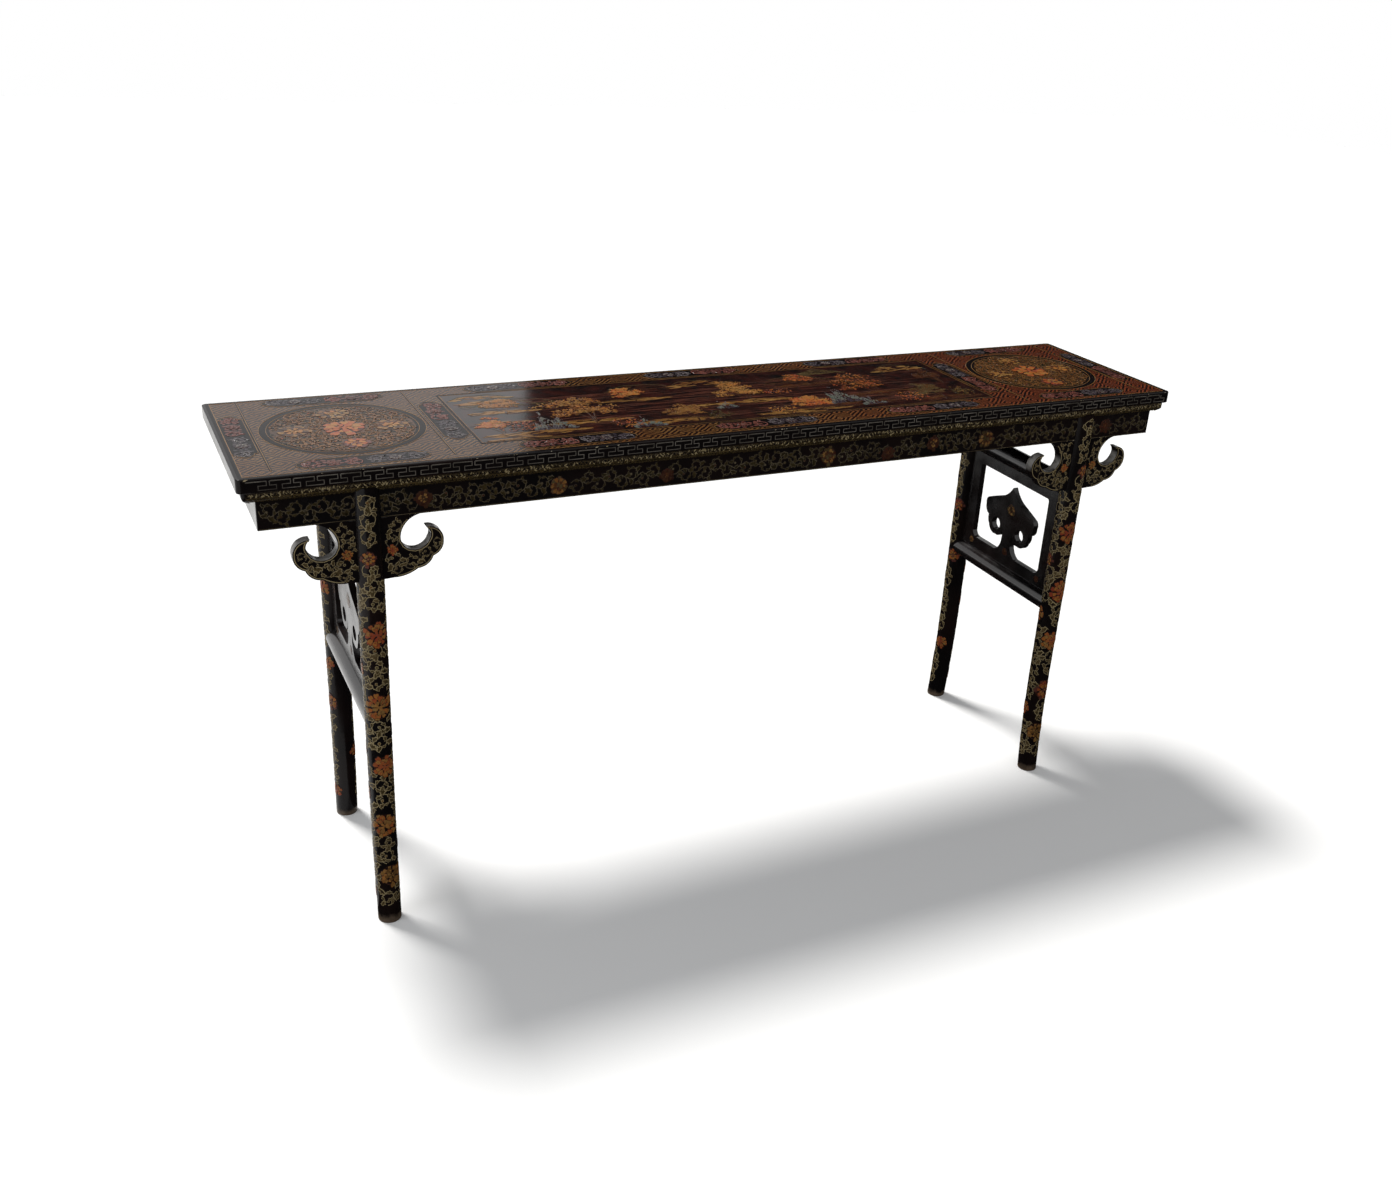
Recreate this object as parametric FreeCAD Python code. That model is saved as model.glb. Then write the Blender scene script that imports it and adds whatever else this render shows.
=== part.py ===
import FreeCAD, Part
import math
import os

# Recessed-leg altar table of lacquered wood. Millimetres, +Z up, origin on the floor under the
# middle of the top, +X along the top's length, -Y towards the decorated front.

V = FreeCAD.Vector
ORIGIN = V(0, 0, 0)
X_AXIS = V(1, 0, 0)
Y_AXIS = V(0, 1, 0)
Z_AXIS = V(0, 0, 1)

# Whole table
top_length = 1800.0
top_depth = 395.0
table_height = 853.0

# Joinery
fit_clearance = 0.15
shoulder_gap = 0.1
cut_overrun = 5.0
upright_run_share = 0.99

# Mitred frame of the top
frame_thickness = 23.0
frame_width = 76.0
frame_corner_radius = 8.0
frame_arris_radius = 2.0
frame_tenon_length = 28.0
frame_tenon_width = 30.0
frame_tenon_thickness = 7.0

# Floating panel of the top
panel_thickness = 12.0
panel_tongue_depth = 8.0
panel_tongue_thickness = 5.0
panel_play = 0.8

# Battens under the panel
batten_count = 4
batten_width = 42.0
batten_height = 28.0
batten_end_inset = 315.0
batten_key_width = 21.0
batten_key_height = 4.0
batten_key_flare = 2.0
batten_tenon_width = 21.0
batten_tenon_length = 20.0
batten_tenon_thickness = 6.0

# Lower moulding under the frame's edge
moulding_height = 20.0
moulding_inset = 6.5
moulding_width = 50.0
moulding_round_radius = 14.0
moulding_corner_radius = 6.0

# Aprons
apron_height = 47.5
apron_thickness = 18.0
apron_setback = 17.5
apron_end_setback = 27.0
apron_edge_radius = 1.6
apron_tongue_height = 6.0
apron_tongue_thickness = 6.0

# Cloud-head spandrels beside the legs
spandrel_reach = 118.0
spandrel_drop = 106.0
spandrel_tongue_height = 5.0
spandrel_tongue_thickness = 6.0
spandrel_tongue_reach = 52.0

# Legs, set in from the ends and the long edges of the top
leg_end_inset = 192.5
leg_side_inset = 27.5
leg_top_radius = 22.3
leg_foot_radius = 20.3
leg_kick = 10.8
leg_kick_height = 254.0
leg_kick_sections = 8
foot_edge_radius = 1.5
leg_tenon_width = 24.0
leg_tenon_thickness = 9.0
leg_tenon_height = 31.0
leg_scribe_height = 8.0

# Rails between the two legs of one end, hung below the moulding
rail_radius = 20.5
upper_rail_drop = 153.0
rail_spacing = 260.5
rail_tenon_length = 11.0
rail_tenon_width = 12.0
rail_tenon_height = 22.0

# Open panel between the rails. The reaches run from the axis of the leg or the rail.
panel_board_thickness = 12.0
stile_reach = 52.0
lower_board_reach = 45.5
upper_board_reach = 43.5
opening_lower_radius = 15.0
opening_upper_radius = 6.0
board_housing_depth = 5.0
board_mitre_run_on_share = 0.5

# Cloud-head ornament that stands in the open panel
ornament_width = 167.0
ornament_top_gap = 16.5
ornament_eye_radius = 13.5
ornament_tenon_width = 34.0
ornament_tenon_height = 8.0
ornament_tenon_thickness = 6.0

# Levels and places worked out from the sizes above
frame_bottom = table_height - frame_thickness
moulding_bottom = frame_bottom - moulding_height
apron_bottom = moulding_bottom - apron_height
spandrel_bottom = apron_bottom - spandrel_drop
panel_bottom = table_height - panel_thickness
half_length = top_length / 2
half_depth = top_depth / 2
apron_face = half_depth - apron_setback
apron_back = apron_face - apron_thickness
apron_end_face = half_length - apron_end_setback
batten_bottom = panel_bottom - batten_height
leg_centre_x = half_length - leg_end_inset
leg_centre_y = half_depth - leg_side_inset
upper_rail_centre = moulding_bottom - upper_rail_drop
lower_rail_centre = upper_rail_centre - rail_spacing
opening_half_width = leg_centre_y - stile_reach
opening_bottom = lower_rail_centre + lower_board_reach
opening_top = upper_rail_centre - upper_board_reach
ornament_height = opening_top - opening_bottom - ornament_top_gap
board_bottom = lower_rail_centre + rail_radius - board_housing_depth
board_top = upper_rail_centre - rail_radius + board_housing_depth
board_half_width = leg_centre_y - leg_foot_radius + board_housing_depth - fit_clearance

# Outlines. A spandrel's shares are of spandrel_reach outwards from the leg's axis and of
# spandrel_drop downwards from the apron. An arc is given by its middle and its end.
spandrel_start_share = (0.68, 0.0)
spandrel_arc_shares = [
    ((0.502, 0.110), (0.418, 0.305)),
    ((0.593, 0.568), (0.805, 0.425)),
    ((0.822, 0.310), (0.765, 0.222)),
    ((0.930, 0.275), (1.000, 0.470)),
    ((0.965, 0.608), (0.852, 0.705)),
    ((0.787, 0.815), (0.636, 0.880)),
    ((0.492, 0.960), (0.310, 0.985)),
]
spandrel_foot_share = (0.0, 1.0)

# The ornament's shares are of its half width outwards and of its height upwards, from the
# middle of its foot round to its tip.
ornament_foot_share = (0.43, 0.0)
ornament_arc_shares = [
    ((0.265, 0.070), (0.190, 0.200)),
    ((0.188, 0.270), (0.215, 0.335)),
    ((0.300, 0.232), (0.470, 0.215)),
    ((0.660, 0.228), (0.775, 0.310)),
    ((0.845, 0.380), (0.848, 0.445)),
    ((0.960, 0.490), (1.000, 0.580)),
    ((1.000, 0.655), (0.900, 0.700)),
    ((0.700, 0.745), (0.440, 0.800)),
    ((0.190, 0.875), (0.000, 1.000)),
]
ornament_eye_centre_share = (0.490, 0.375)

NODES = {}


def box(x_range, y_range, z_range):
    """A box between two limits on each axis."""
    size_x = x_range[1] - x_range[0]
    size_y = y_range[1] - y_range[0]
    size_z = z_range[1] - z_range[0]
    return Part.makeBox(size_x, size_y, size_z, V(x_range[0], y_range[0], z_range[0]))


def prism(points, direction):
    """A flat closed outline of points, pushed along a vector."""
    wire = Part.makePolygon(points + points[:1])
    return Part.Face(wire).extrude(direction)


def about(centre, width):
    """The two limits of a width about a centre."""
    return (centre - width / 2, centre + width / 2)


def flip_x(shape):
    """The same piece on the other end of the table."""
    return shape.mirror(ORIGIN, X_AXIS)


def flip_y(shape):
    """The same piece on the other long side of the table."""
    return shape.mirror(ORIGIN, Y_AXIS)


def mitred_member(side, half_x, half_y, width, z_range):
    """One straight member of a rectangular ring whose corners are mitred."""
    inner_x = half_x - width
    inner_y = half_y - width
    outlines = {
        "front": [(-half_x, -half_y), (half_x, -half_y), (inner_x, -inner_y), (-inner_x, -inner_y)],
        "right": [(half_x, -half_y), (half_x, half_y), (inner_x, inner_y), (inner_x, -inner_y)],
    }
    points = [V(x, y, z_range[0]) for x, y in outlines[side]]
    return prism(points, V(0, 0, z_range[1] - z_range[0]))


def upright_edges(shape):
    """The edges of a shape that run straight up."""
    found = []
    for edge in shape.Edges:
        first, last = edge.Vertexes[0].Point, edge.Vertexes[-1].Point
        run = last.sub(first)
        if abs(run.z) > edge.Length * upright_run_share:
            found.append(edge)
    return found


def level_edges(shape, z):
    """The edges of a shape that lie at one height."""
    found = []
    for edge in shape.Edges:
        spread = edge.BoundBox.ZLength
        if abs(edge.BoundBox.ZMin - z) < fit_clearance and spread < fit_clearance:
            found.append(edge)
    return found


def frame_envelope():
    """The top's outside: rounded corners in plan and softened arrises."""
    blank = box((-half_length, half_length), (-half_depth, half_depth), (frame_bottom, table_height))
    blank = blank.makeFillet(frame_corner_radius, upright_edges(blank))
    rims = level_edges(blank, table_height) + level_edges(blank, frame_bottom)
    return blank.makeFillet(frame_arris_radius, rims)


def frame_tenon(clearance):
    """The hidden tenon of the front member into the right-hand member, at their mitre."""
    middle_y = -half_depth + frame_width / 2
    middle_z = (frame_bottom + panel_bottom) / 2
    shoulder_x = half_length - frame_width / 2
    x_range = (shoulder_x - frame_tenon_width, shoulder_x + frame_tenon_length + clearance)
    y_range = about(middle_y, frame_tenon_width + 2 * clearance)
    z_range = about(middle_z, frame_tenon_thickness + 2 * clearance)
    return box(x_range, y_range, z_range)


def panel_groove():
    """The groove that runs round the inside of the frame for the panel's tongue."""
    reach = panel_tongue_depth + panel_play
    inner_x = half_length - frame_width + reach
    inner_y = half_depth - frame_width + reach
    z_range = (panel_bottom, panel_bottom + panel_tongue_thickness + fit_clearance)
    return box((-inner_x, inner_x), (-inner_y, inner_y), z_range)


def leg_tenon(clearance):
    """The tenon on the head of the front right leg, behind the apron."""
    front_y = -apron_back + fit_clearance
    y_range = (front_y - clearance, front_y + leg_tenon_thickness + clearance)
    x_range = about(leg_centre_x, leg_tenon_width + 2 * clearance)
    z_range = (moulding_bottom - cut_overrun, moulding_bottom + leg_tenon_height + clearance)
    return box(x_range, y_range, z_range)


def batten_places():
    """The middle of each batten along the table."""
    first = -half_length + batten_end_inset
    spacing = -2 * first / (batten_count - 1)
    return [first + index * spacing for index in range(batten_count)]


def batten_tenons(x, clearance):
    """The two end tenons of a batten, in the long members of the frame."""
    reach = half_depth - frame_width + batten_tenon_length + clearance
    middle_z = (frame_bottom + panel_bottom) / 2
    z_range = about(middle_z, batten_tenon_thickness + 2 * clearance)
    return box(about(x, batten_tenon_width + 2 * clearance), (-reach, reach), z_range)


def batten_key(x, clearance):
    """The dovetailed key along a batten's top, let into the underside of the panel."""
    reach = half_depth - frame_width
    low = batten_key_width / 2 + clearance
    high = low + batten_key_flare
    top = panel_bottom + batten_key_height + clearance
    points = [V(x - low, -reach, panel_bottom), V(x + low, -reach, panel_bottom),
              V(x + high, -reach, top), V(x - high, -reach, top)]
    return prism(points, V(0, 2 * reach, 0))


def make_top_frame():
    """Four mitred members, grooved for the panel and mortised for battens and legs."""
    envelope = frame_envelope()
    z_range = (frame_bottom, table_height)
    front = mitred_member("front", half_length, half_depth, frame_width, z_range)
    front = front.common(envelope).cut(panel_groove())
    for x in batten_places():
        front = front.cut(batten_tenons(x, fit_clearance))
    mortise = leg_tenon(fit_clearance)
    front = front.cut(mortise).cut(flip_x(mortise))
    tenon = frame_tenon(0)
    inner_end = half_length - frame_width
    tenon = tenon.cut(box((0, inner_end - frame_tenon_width / 2), (-half_depth, 0), z_range))
    front = front.fuse(tenon).fuse(flip_x(tenon)).removeSplitter()
    right = mitred_member("right", half_length, half_depth, frame_width, z_range)
    right = right.common(envelope).cut(panel_groove())
    mortise = frame_tenon(fit_clearance)
    right = right.cut(mortise).cut(flip_y(mortise))
    NODES["top_frame_front"] = front
    NODES["top_frame_back"] = flip_y(front)
    NODES["top_frame_right"] = right
    NODES["top_frame_left"] = flip_x(right)


def make_top_panel():
    """One floating board: its face is flush with the frame and its tongue is held in the groove."""
    inner_x = half_length - frame_width
    inner_y = half_depth - frame_width
    board = box((-inner_x, inner_x), (-inner_y, inner_y), (panel_bottom, table_height))
    tongue_x = inner_x + panel_tongue_depth
    tongue_y = inner_y + panel_tongue_depth
    tongue_z = (panel_bottom, panel_bottom + panel_tongue_thickness)
    board = board.fuse(box((-tongue_x, tongue_x), (-tongue_y, tongue_y), tongue_z))
    for x in batten_places():
        board = board.cut(batten_key(x, fit_clearance))
    NODES["top_panel"] = board.removeSplitter()


def make_battens():
    """Battens that keep the panel flat, keyed into it and tenoned into the frame."""
    inner_y = half_depth - frame_width
    for index, x in enumerate(batten_places()):
        bar = box(about(x, batten_width), (-inner_y, inner_y), (batten_bottom, panel_bottom))
        bar = bar.fuse(batten_tenons(x, 0)).fuse(batten_key(x, 0))
        NODES["batten_%d" % (index + 1)] = bar.removeSplitter()


def moulding_section(outer, inner):
    """The moulding's section as (outward, height) pairs: an upright face over a quarter round."""
    round_side = outer - moulding_round_radius
    round_top = moulding_bottom + moulding_round_radius
    middle = moulding_round_radius * math.cos(math.radians(45))
    return {
        "corners": [(inner, moulding_bottom), (inner, frame_bottom), (outer, frame_bottom), (outer, round_top)],
        "arc": ((round_side + middle, round_top - middle), (round_side, moulding_bottom)),
    }


def moulding_bar(outer, inner, half_run, place):
    """A straight run of the moulding. place turns (outward, height) and a run into a point."""
    section = moulding_section(outer, inner)
    corners = [place(a, z, -half_run) for a, z in section["corners"]]
    middle, end = [place(a, z, -half_run) for a, z in section["arc"]]
    edges = [Part.makeLine(corners[i], corners[i + 1]) for i in range(len(corners) - 1)]
    edges.append(Part.Arc(corners[-1], middle, end).toShape())
    edges.append(Part.makeLine(end, corners[0]))
    push = place(0, 0, 2 * half_run)
    return Part.Face(Part.Wire(edges)).extrude(push)


def apron_tongues(clearance):
    """The tongue along the top of the aprons, as a whole ring, for the groove above it."""
    outer_x = apron_end_face - (apron_thickness - apron_tongue_thickness) / 2 + clearance
    outer_y = apron_face - (apron_thickness - apron_tongue_thickness) / 2 + clearance
    width = apron_tongue_thickness + 2 * clearance
    z_range = (moulding_bottom, moulding_bottom + apron_tongue_height + clearance)
    outer = box((-outer_x, outer_x), (-outer_y, outer_y), z_range)
    inner_x = outer_x - width
    inner_y = outer_y - width
    return outer.cut(box((-inner_x, inner_x), (-inner_y, inner_y), z_range))


def long_moulding():
    """The front moulding as it leaves the plane, before its mitres and grooves."""
    outer_x = half_length - moulding_inset
    outer_y = half_depth - moulding_inset
    return moulding_bar(outer_y, outer_y - moulding_width, outer_x, lambda a, z, run: V(run, -a, z))


def make_mouldings():
    """Four mitred mouldings under the frame's edge, grooved for the aprons."""
    outer_x = half_length - moulding_inset
    outer_y = half_depth - moulding_inset
    z_range = (moulding_bottom, frame_bottom)
    blank = box((-outer_x, outer_x), (-outer_y, outer_y), z_range)
    blank = blank.makeFillet(moulding_corner_radius, upright_edges(blank))
    groove = apron_tongues(fit_clearance)
    front = long_moulding().common(mitred_member("front", outer_x, outer_y, moulding_width, z_range))
    front = front.common(blank).cut(groove)
    mortise = leg_tenon(fit_clearance)
    front = front.cut(mortise).cut(flip_x(mortise))
    right = moulding_bar(outer_x, outer_x - moulding_width, outer_y, lambda a, z, run: V(a, run, z))
    right = right.common(mitred_member("right", outer_x, outer_y, moulding_width, z_range))
    right = right.common(blank).cut(groove)
    NODES["moulding_front"] = front
    NODES["moulding_back"] = flip_y(front)
    NODES["moulding_right"] = right
    NODES["moulding_left"] = flip_x(right)


def apron_envelope():
    """The outside of the four aprons, with a softened lower arris."""
    z_range = (apron_bottom, moulding_bottom)
    blank = box((-apron_end_face, apron_end_face), (-apron_face, apron_face), z_range)
    blank = blank.makeFillet(apron_edge_radius, upright_edges(blank) + level_edges(blank, apron_bottom))
    return blank


def spandrel_tongue(clearance):
    """The tongue on top of both spandrels of the front right leg, in the apron's lower edge."""
    middle_y = -(apron_face + apron_back) / 2
    x_range = about(leg_centre_x, 2 * spandrel_tongue_reach + 2 * clearance)
    y_range = about(middle_y, spandrel_tongue_thickness + 2 * clearance)
    return box(x_range, y_range, (apron_bottom, apron_bottom + spandrel_tongue_height + clearance))


def make_aprons():
    """Two long aprons that pass through the leg heads, and two end aprons mitred to them."""
    envelope = apron_envelope()
    z_range = (apron_bottom, moulding_bottom)
    full_height = (apron_bottom, moulding_bottom + apron_tongue_height)
    tongues = apron_tongues(0)
    front = mitred_member("front", apron_end_face, apron_face, apron_thickness, z_range).common(envelope)
    keep = mitred_member("front", apron_end_face, apron_face, apron_thickness, full_height)
    front = front.fuse(tongues.common(keep))
    groove = spandrel_tongue(fit_clearance)
    front = front.cut(groove).cut(flip_x(groove)).removeSplitter()
    right = mitred_member("right", apron_end_face, apron_face, apron_thickness, z_range).common(envelope)
    keep = mitred_member("right", apron_end_face, apron_face, apron_thickness, full_height)
    right = right.fuse(tongues.common(keep)).removeSplitter()
    NODES["front_apron"] = front
    NODES["back_apron"] = flip_y(front)
    NODES["right_end_apron"] = right
    NODES["left_end_apron"] = flip_x(right)


def spandrel_point(share):
    """A point of the outer spandrel's outline beside the front right leg."""
    return V(leg_centre_x + share[0] * spandrel_reach, -apron_face, apron_bottom - share[1] * spandrel_drop)


def spandrel_blank():
    """The outer spandrel of the front right leg, cut from board as thick as the apron."""
    head = spandrel_point((0, 0))
    start = spandrel_point(spandrel_start_share)
    edges = [Part.makeLine(head, start)]
    for middle, end in spandrel_arc_shares:
        last = spandrel_point(end)
        edges.append(Part.Arc(start, spandrel_point(middle), last).toShape())
        start = last
    foot = spandrel_point(spandrel_foot_share)
    edges.append(Part.makeLine(start, foot))
    edges.append(Part.makeLine(foot, head))
    return Part.Face(Part.Wire(edges)).extrude(V(0, apron_thickness, 0))


def make_spandrels():
    """Eight spandrels: each pair meets on a leg's axis, inside the slot in its head."""
    tongue = spandrel_tongue(0)
    side = box((leg_centre_x, leg_centre_x + spandrel_reach), (-half_depth, 0), (0, table_height))
    outer = spandrel_blank().fuse(tongue.common(side)).removeSplitter()
    inner = outer.mirror(V(leg_centre_x, 0, 0), X_AXIS)
    for name, shape in (("outer", outer), ("inner", inner)):
        NODES["spandrel_front_right_" + name] = shape
        NODES["spandrel_front_left_" + name] = flip_x(shape)
        NODES["spandrel_back_right_" + name] = flip_y(shape)
        NODES["spandrel_back_left_" + name] = flip_x(flip_y(shape))


def leg_centre_at(z):
    """The leg's axis: upright, with a kick outwards that grows towards the foot."""
    rise = max(0, 1 - z / leg_kick_height)
    return leg_centre_y + leg_kick * rise * rise


def leg_radius_at(z):
    """The leg tapers evenly from head to foot."""
    return leg_foot_radius + (leg_top_radius - leg_foot_radius) * z / moulding_bottom


def leg_blank(grow):
    """The round front right leg without its joints. grow widens it all round, for what meets it."""
    rings = []
    for index in range(leg_kick_sections + 1):
        z = leg_kick_height * index / leg_kick_sections
        centre = V(leg_centre_x, -leg_centre_at(z), z)
        rings.append(Part.Wire(Part.makeCircle(leg_radius_at(z) + grow, centre, Z_AXIS)))
    lower = Part.makeLoft(rings, True, False)
    head = moulding_bottom + leg_scribe_height
    base = V(leg_centre_x, -leg_centre_y, leg_kick_height)
    radii = (leg_radius_at(leg_kick_height) + grow, leg_radius_at(head) + grow)
    upper = Part.makeCone(radii[0], radii[1], head - leg_kick_height, base, Z_AXIS)
    return lower.fuse(upper)


def leg_slot():
    """The slot in the leg's head that the apron and the two spandrels sit in."""
    x_range = about(leg_centre_x, 2 * leg_top_radius + 2 * cut_overrun)
    y_range = (-apron_face - fit_clearance, -apron_back + fit_clearance)
    return box(x_range, y_range, (spandrel_bottom, moulding_bottom + cut_overrun))


def rail_tenon(centre_z, clearance):
    """A rail's tenon into the front right leg."""
    shoulder_y = leg_centre_y - leg_foot_radius
    x_range = about(leg_centre_x, rail_tenon_width + 2 * clearance)
    y_range = (-shoulder_y - rail_tenon_length - clearance, -shoulder_y + rail_radius)
    return box(x_range, y_range, about(centre_z, rail_tenon_height + 2 * clearance))


def board_space(clearance):
    """The whole space of the open panel's boards at the right end, with its housings."""
    x_range = about(leg_centre_x, panel_board_thickness + 2 * clearance)
    reach = board_half_width + clearance
    return box(x_range, (-reach, reach), (board_bottom - clearance, board_top + clearance))


def make_legs():
    """Four legs: slotted heads scribed to the moulding, a tenon into the top, and mortises."""
    leg = leg_blank(0)
    leg = leg.makeFillet(foot_edge_radius, level_edges(leg, 0))
    leg = leg.cut(leg_slot()).cut(long_moulding())
    above = box(about(leg_centre_x, 2 * leg_top_radius), (-half_depth, 0), (moulding_bottom, table_height))
    leg = leg.fuse(leg_tenon(0).common(above))
    for centre_z in (lower_rail_centre, upper_rail_centre):
        leg = leg.cut(rail_tenon(centre_z, fit_clearance))
    leg = leg.cut(board_space(fit_clearance)).removeSplitter()
    NODES["leg_front_right"] = leg
    NODES["leg_front_left"] = flip_x(leg)
    NODES["leg_back_right"] = flip_y(leg)
    NODES["leg_back_left"] = flip_x(flip_y(leg))


def make_rails():
    """Round rails, two at each end, coped to the legs and grooved for the open panel."""
    keep_out = leg_blank(shoulder_gap)
    for name, centre_z in (("lower_rail", lower_rail_centre), ("upper_rail", upper_rail_centre)):
        base = V(leg_centre_x, -leg_centre_y, centre_z)
        rail = Part.makeCylinder(rail_radius, 2 * leg_centre_y, base, Y_AXIS)
        rail = rail.cut(keep_out).cut(flip_y(keep_out))
        tenon = rail_tenon(centre_z, 0)
        rail = rail.fuse(tenon).fuse(flip_y(tenon))
        rail = rail.cut(board_space(fit_clearance)).removeSplitter()
        NODES[name + "_right"] = rail
        NODES[name + "_left"] = flip_x(rail)


def opening_blank():
    """The open panel's opening, with a larger radius at its two lower corners."""
    x_range = about(leg_centre_x, panel_board_thickness + 2 * cut_overrun)
    y_range = (-opening_half_width, opening_half_width)
    blank = box(x_range, y_range, (opening_bottom, opening_top))
    middle_z = (opening_bottom + opening_top) / 2
    for radius, is_low in ((opening_lower_radius, True), (opening_upper_radius, False)):
        corners = []
        for edge in blank.Edges:
            runs_through = edge.BoundBox.XLength > panel_board_thickness
            if runs_through and (edge.CenterOfMass.z < middle_z) == is_low:
                corners.append(edge)
        corners = [edge for edge in corners if abs(edge.CenterOfMass.y) > opening_half_width / 2]
        blank = blank.makeFillet(radius, corners)
    return blank


def mitre_sector(corners, inner):
    """A wedge of the open panel between two mitre lines, which run on past the opening's corners."""
    points = list(corners)
    for corner, near in zip(reversed(corners), reversed(inner)):
        past_y = (near[0] - corner[0]) * board_mitre_run_on_share
        past_z = (near[1] - corner[1]) * board_mitre_run_on_share
        points.append((near[0] + past_y, near[1] + past_z))
    start_x = leg_centre_x - panel_board_thickness
    return prism([V(start_x, y, z) for y, z in points], V(2 * panel_board_thickness, 0, 0))


def make_open_panels():
    """Two stiles and two boards at each end, mitred round a rounded opening."""
    ring = board_space(0).cut(opening_blank())
    wide, narrow = board_half_width, opening_half_width
    outer = {"fl": (-wide, board_bottom), "bl": (wide, board_bottom),
             "bt": (wide, board_top), "ft": (-wide, board_top)}
    inner = {"fl": (-narrow, opening_bottom), "bl": (narrow, opening_bottom),
             "bt": (narrow, opening_top), "ft": (-narrow, opening_top)}
    pairs = {"lower_board": ("fl", "bl"), "back_stile": ("bl", "bt"),
             "upper_board": ("bt", "ft"), "front_stile": ("ft", "fl")}
    tenon = ornament_tenon(fit_clearance)
    for name, (first, second) in pairs.items():
        sector = mitre_sector((outer[first], outer[second]), (inner[first], inner[second]))
        piece = ring.common(sector)
        if name == "lower_board":
            piece = piece.cut(tenon)
        NODES[name + "_right"] = piece
        NODES[name + "_left"] = flip_x(piece)


def ornament_tenon(clearance):
    """The tenon under the ornament's foot, in the lower board."""
    x_range = about(leg_centre_x, ornament_tenon_thickness + 2 * clearance)
    y_range = about(0, ornament_tenon_width + 2 * clearance)
    return box(x_range, y_range, (opening_bottom - ornament_tenon_height - clearance, opening_bottom))


def ornament_point(share, side):
    """A point of the ornament's outline at the right end. side is 1 towards the back, -1 front."""
    y = side * share[0] * ornament_width / 2
    return V(leg_centre_x - panel_board_thickness / 2, y, opening_bottom + share[1] * ornament_height)


def ornament_eye(side):
    """The pierced eye in one curl of the ornament."""
    centre = ornament_point(ornament_eye_centre_share, side)
    start = centre.sub(V(cut_overrun, 0, 0))
    return Part.makeCylinder(ornament_eye_radius, panel_board_thickness + 2 * cut_overrun, start, X_AXIS)


def make_ornaments():
    """A cloud-head ornament on a flared stem in each open panel."""
    edges = [Part.makeLine(ornament_point(ornament_foot_share, -1), ornament_point(ornament_foot_share, 1))]
    for side in (1, -1):
        start = ornament_foot_share
        for middle, end in ornament_arc_shares:
            points = [ornament_point(share, side) for share in (start, middle, end)]
            edges.append(Part.Arc(points[0], points[1], points[2]).toShape())
            start = end
    outline = Part.Wire(Part.__sortEdges__(edges))
    body = Part.Face(outline).extrude(V(panel_board_thickness, 0, 0))
    for side in (1, -1):
        body = body.cut(ornament_eye(side))
    body = body.fuse(ornament_tenon(0)).removeSplitter()
    NODES["cloud_ornament_right"] = body
    NODES["cloud_ornament_left"] = flip_x(body)


def main():
    make_top_frame()
    make_top_panel()
    make_battens()
    make_mouldings()
    make_aprons()
    make_spandrels()
    make_legs()
    make_rails()
    make_open_panels()
    make_ornaments()
    os.makedirs("parts", exist_ok=True)
    for name, shape in NODES.items():
        solids = shape.Solids
        if len(solids) != 1 or not shape.isValid():
            print("look at", name, "solids", len(solids), "valid", shape.isValid())
        solids[0].exportStep(os.path.join("parts", name + ".step"))
        print(name, round(solids[0].Volume), round(solids[0].Area))


main()
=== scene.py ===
"""Dresses the altar table's frame in black lacquer, gilding and painted scrollwork."""

import math
import random

import bmesh
import bpy
import numpy as np
from mathutils import Matrix, Vector


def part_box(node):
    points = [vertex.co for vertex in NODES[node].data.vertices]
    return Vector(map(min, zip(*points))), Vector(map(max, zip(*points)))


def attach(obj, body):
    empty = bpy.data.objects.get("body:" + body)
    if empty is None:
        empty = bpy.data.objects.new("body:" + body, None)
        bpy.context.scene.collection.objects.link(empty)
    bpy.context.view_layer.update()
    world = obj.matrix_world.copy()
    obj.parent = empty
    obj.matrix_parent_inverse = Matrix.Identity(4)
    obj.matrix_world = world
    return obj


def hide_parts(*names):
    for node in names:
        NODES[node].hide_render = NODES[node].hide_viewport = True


bl_info = {
    "name": "Painted Altar Table",
    "version": (1, 0, 0),
    "blender": (4, 5, 0),
    "location": "View3D > Sidebar > Altar Table",
    "description": "Makes the lacquer, the painted scrollwork and the studio of an altar table",
    "category": "Object",
}

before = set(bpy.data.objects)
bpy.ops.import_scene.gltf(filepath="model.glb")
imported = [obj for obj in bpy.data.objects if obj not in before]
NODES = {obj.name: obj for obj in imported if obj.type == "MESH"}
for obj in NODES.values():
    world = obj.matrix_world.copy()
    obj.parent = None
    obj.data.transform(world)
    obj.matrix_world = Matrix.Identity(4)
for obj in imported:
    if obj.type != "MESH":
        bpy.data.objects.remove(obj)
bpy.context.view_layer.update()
MM = 0.001
BODY = "root"
TURN = 2 * math.pi

# The table as its nodes give it, in metres
TOP_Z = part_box("top_panel")[1].z
HALF_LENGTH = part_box("top_frame_front")[1].x
HALF_DEPTH = -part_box("top_frame_front")[0].y
FRAME_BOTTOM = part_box("top_frame_front")[0].z
MOULDING_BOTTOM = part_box("moulding_front")[0].z
MOULDING_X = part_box("moulding_front")[1].x
MOULDING_Y = -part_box("moulding_front")[0].y
APRON_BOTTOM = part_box("front_apron")[0].z
APRON_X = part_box("front_apron")[1].x
APRON_Y = -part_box("front_apron")[0].y
BOARD_LOW, BOARD_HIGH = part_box("lower_board_right")
ORNAMENT_LOW, ORNAMENT_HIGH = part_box("cloud_ornament_right")
LEG_X = (BOARD_LOW.x + BOARD_HIGH.x) / 2

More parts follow.
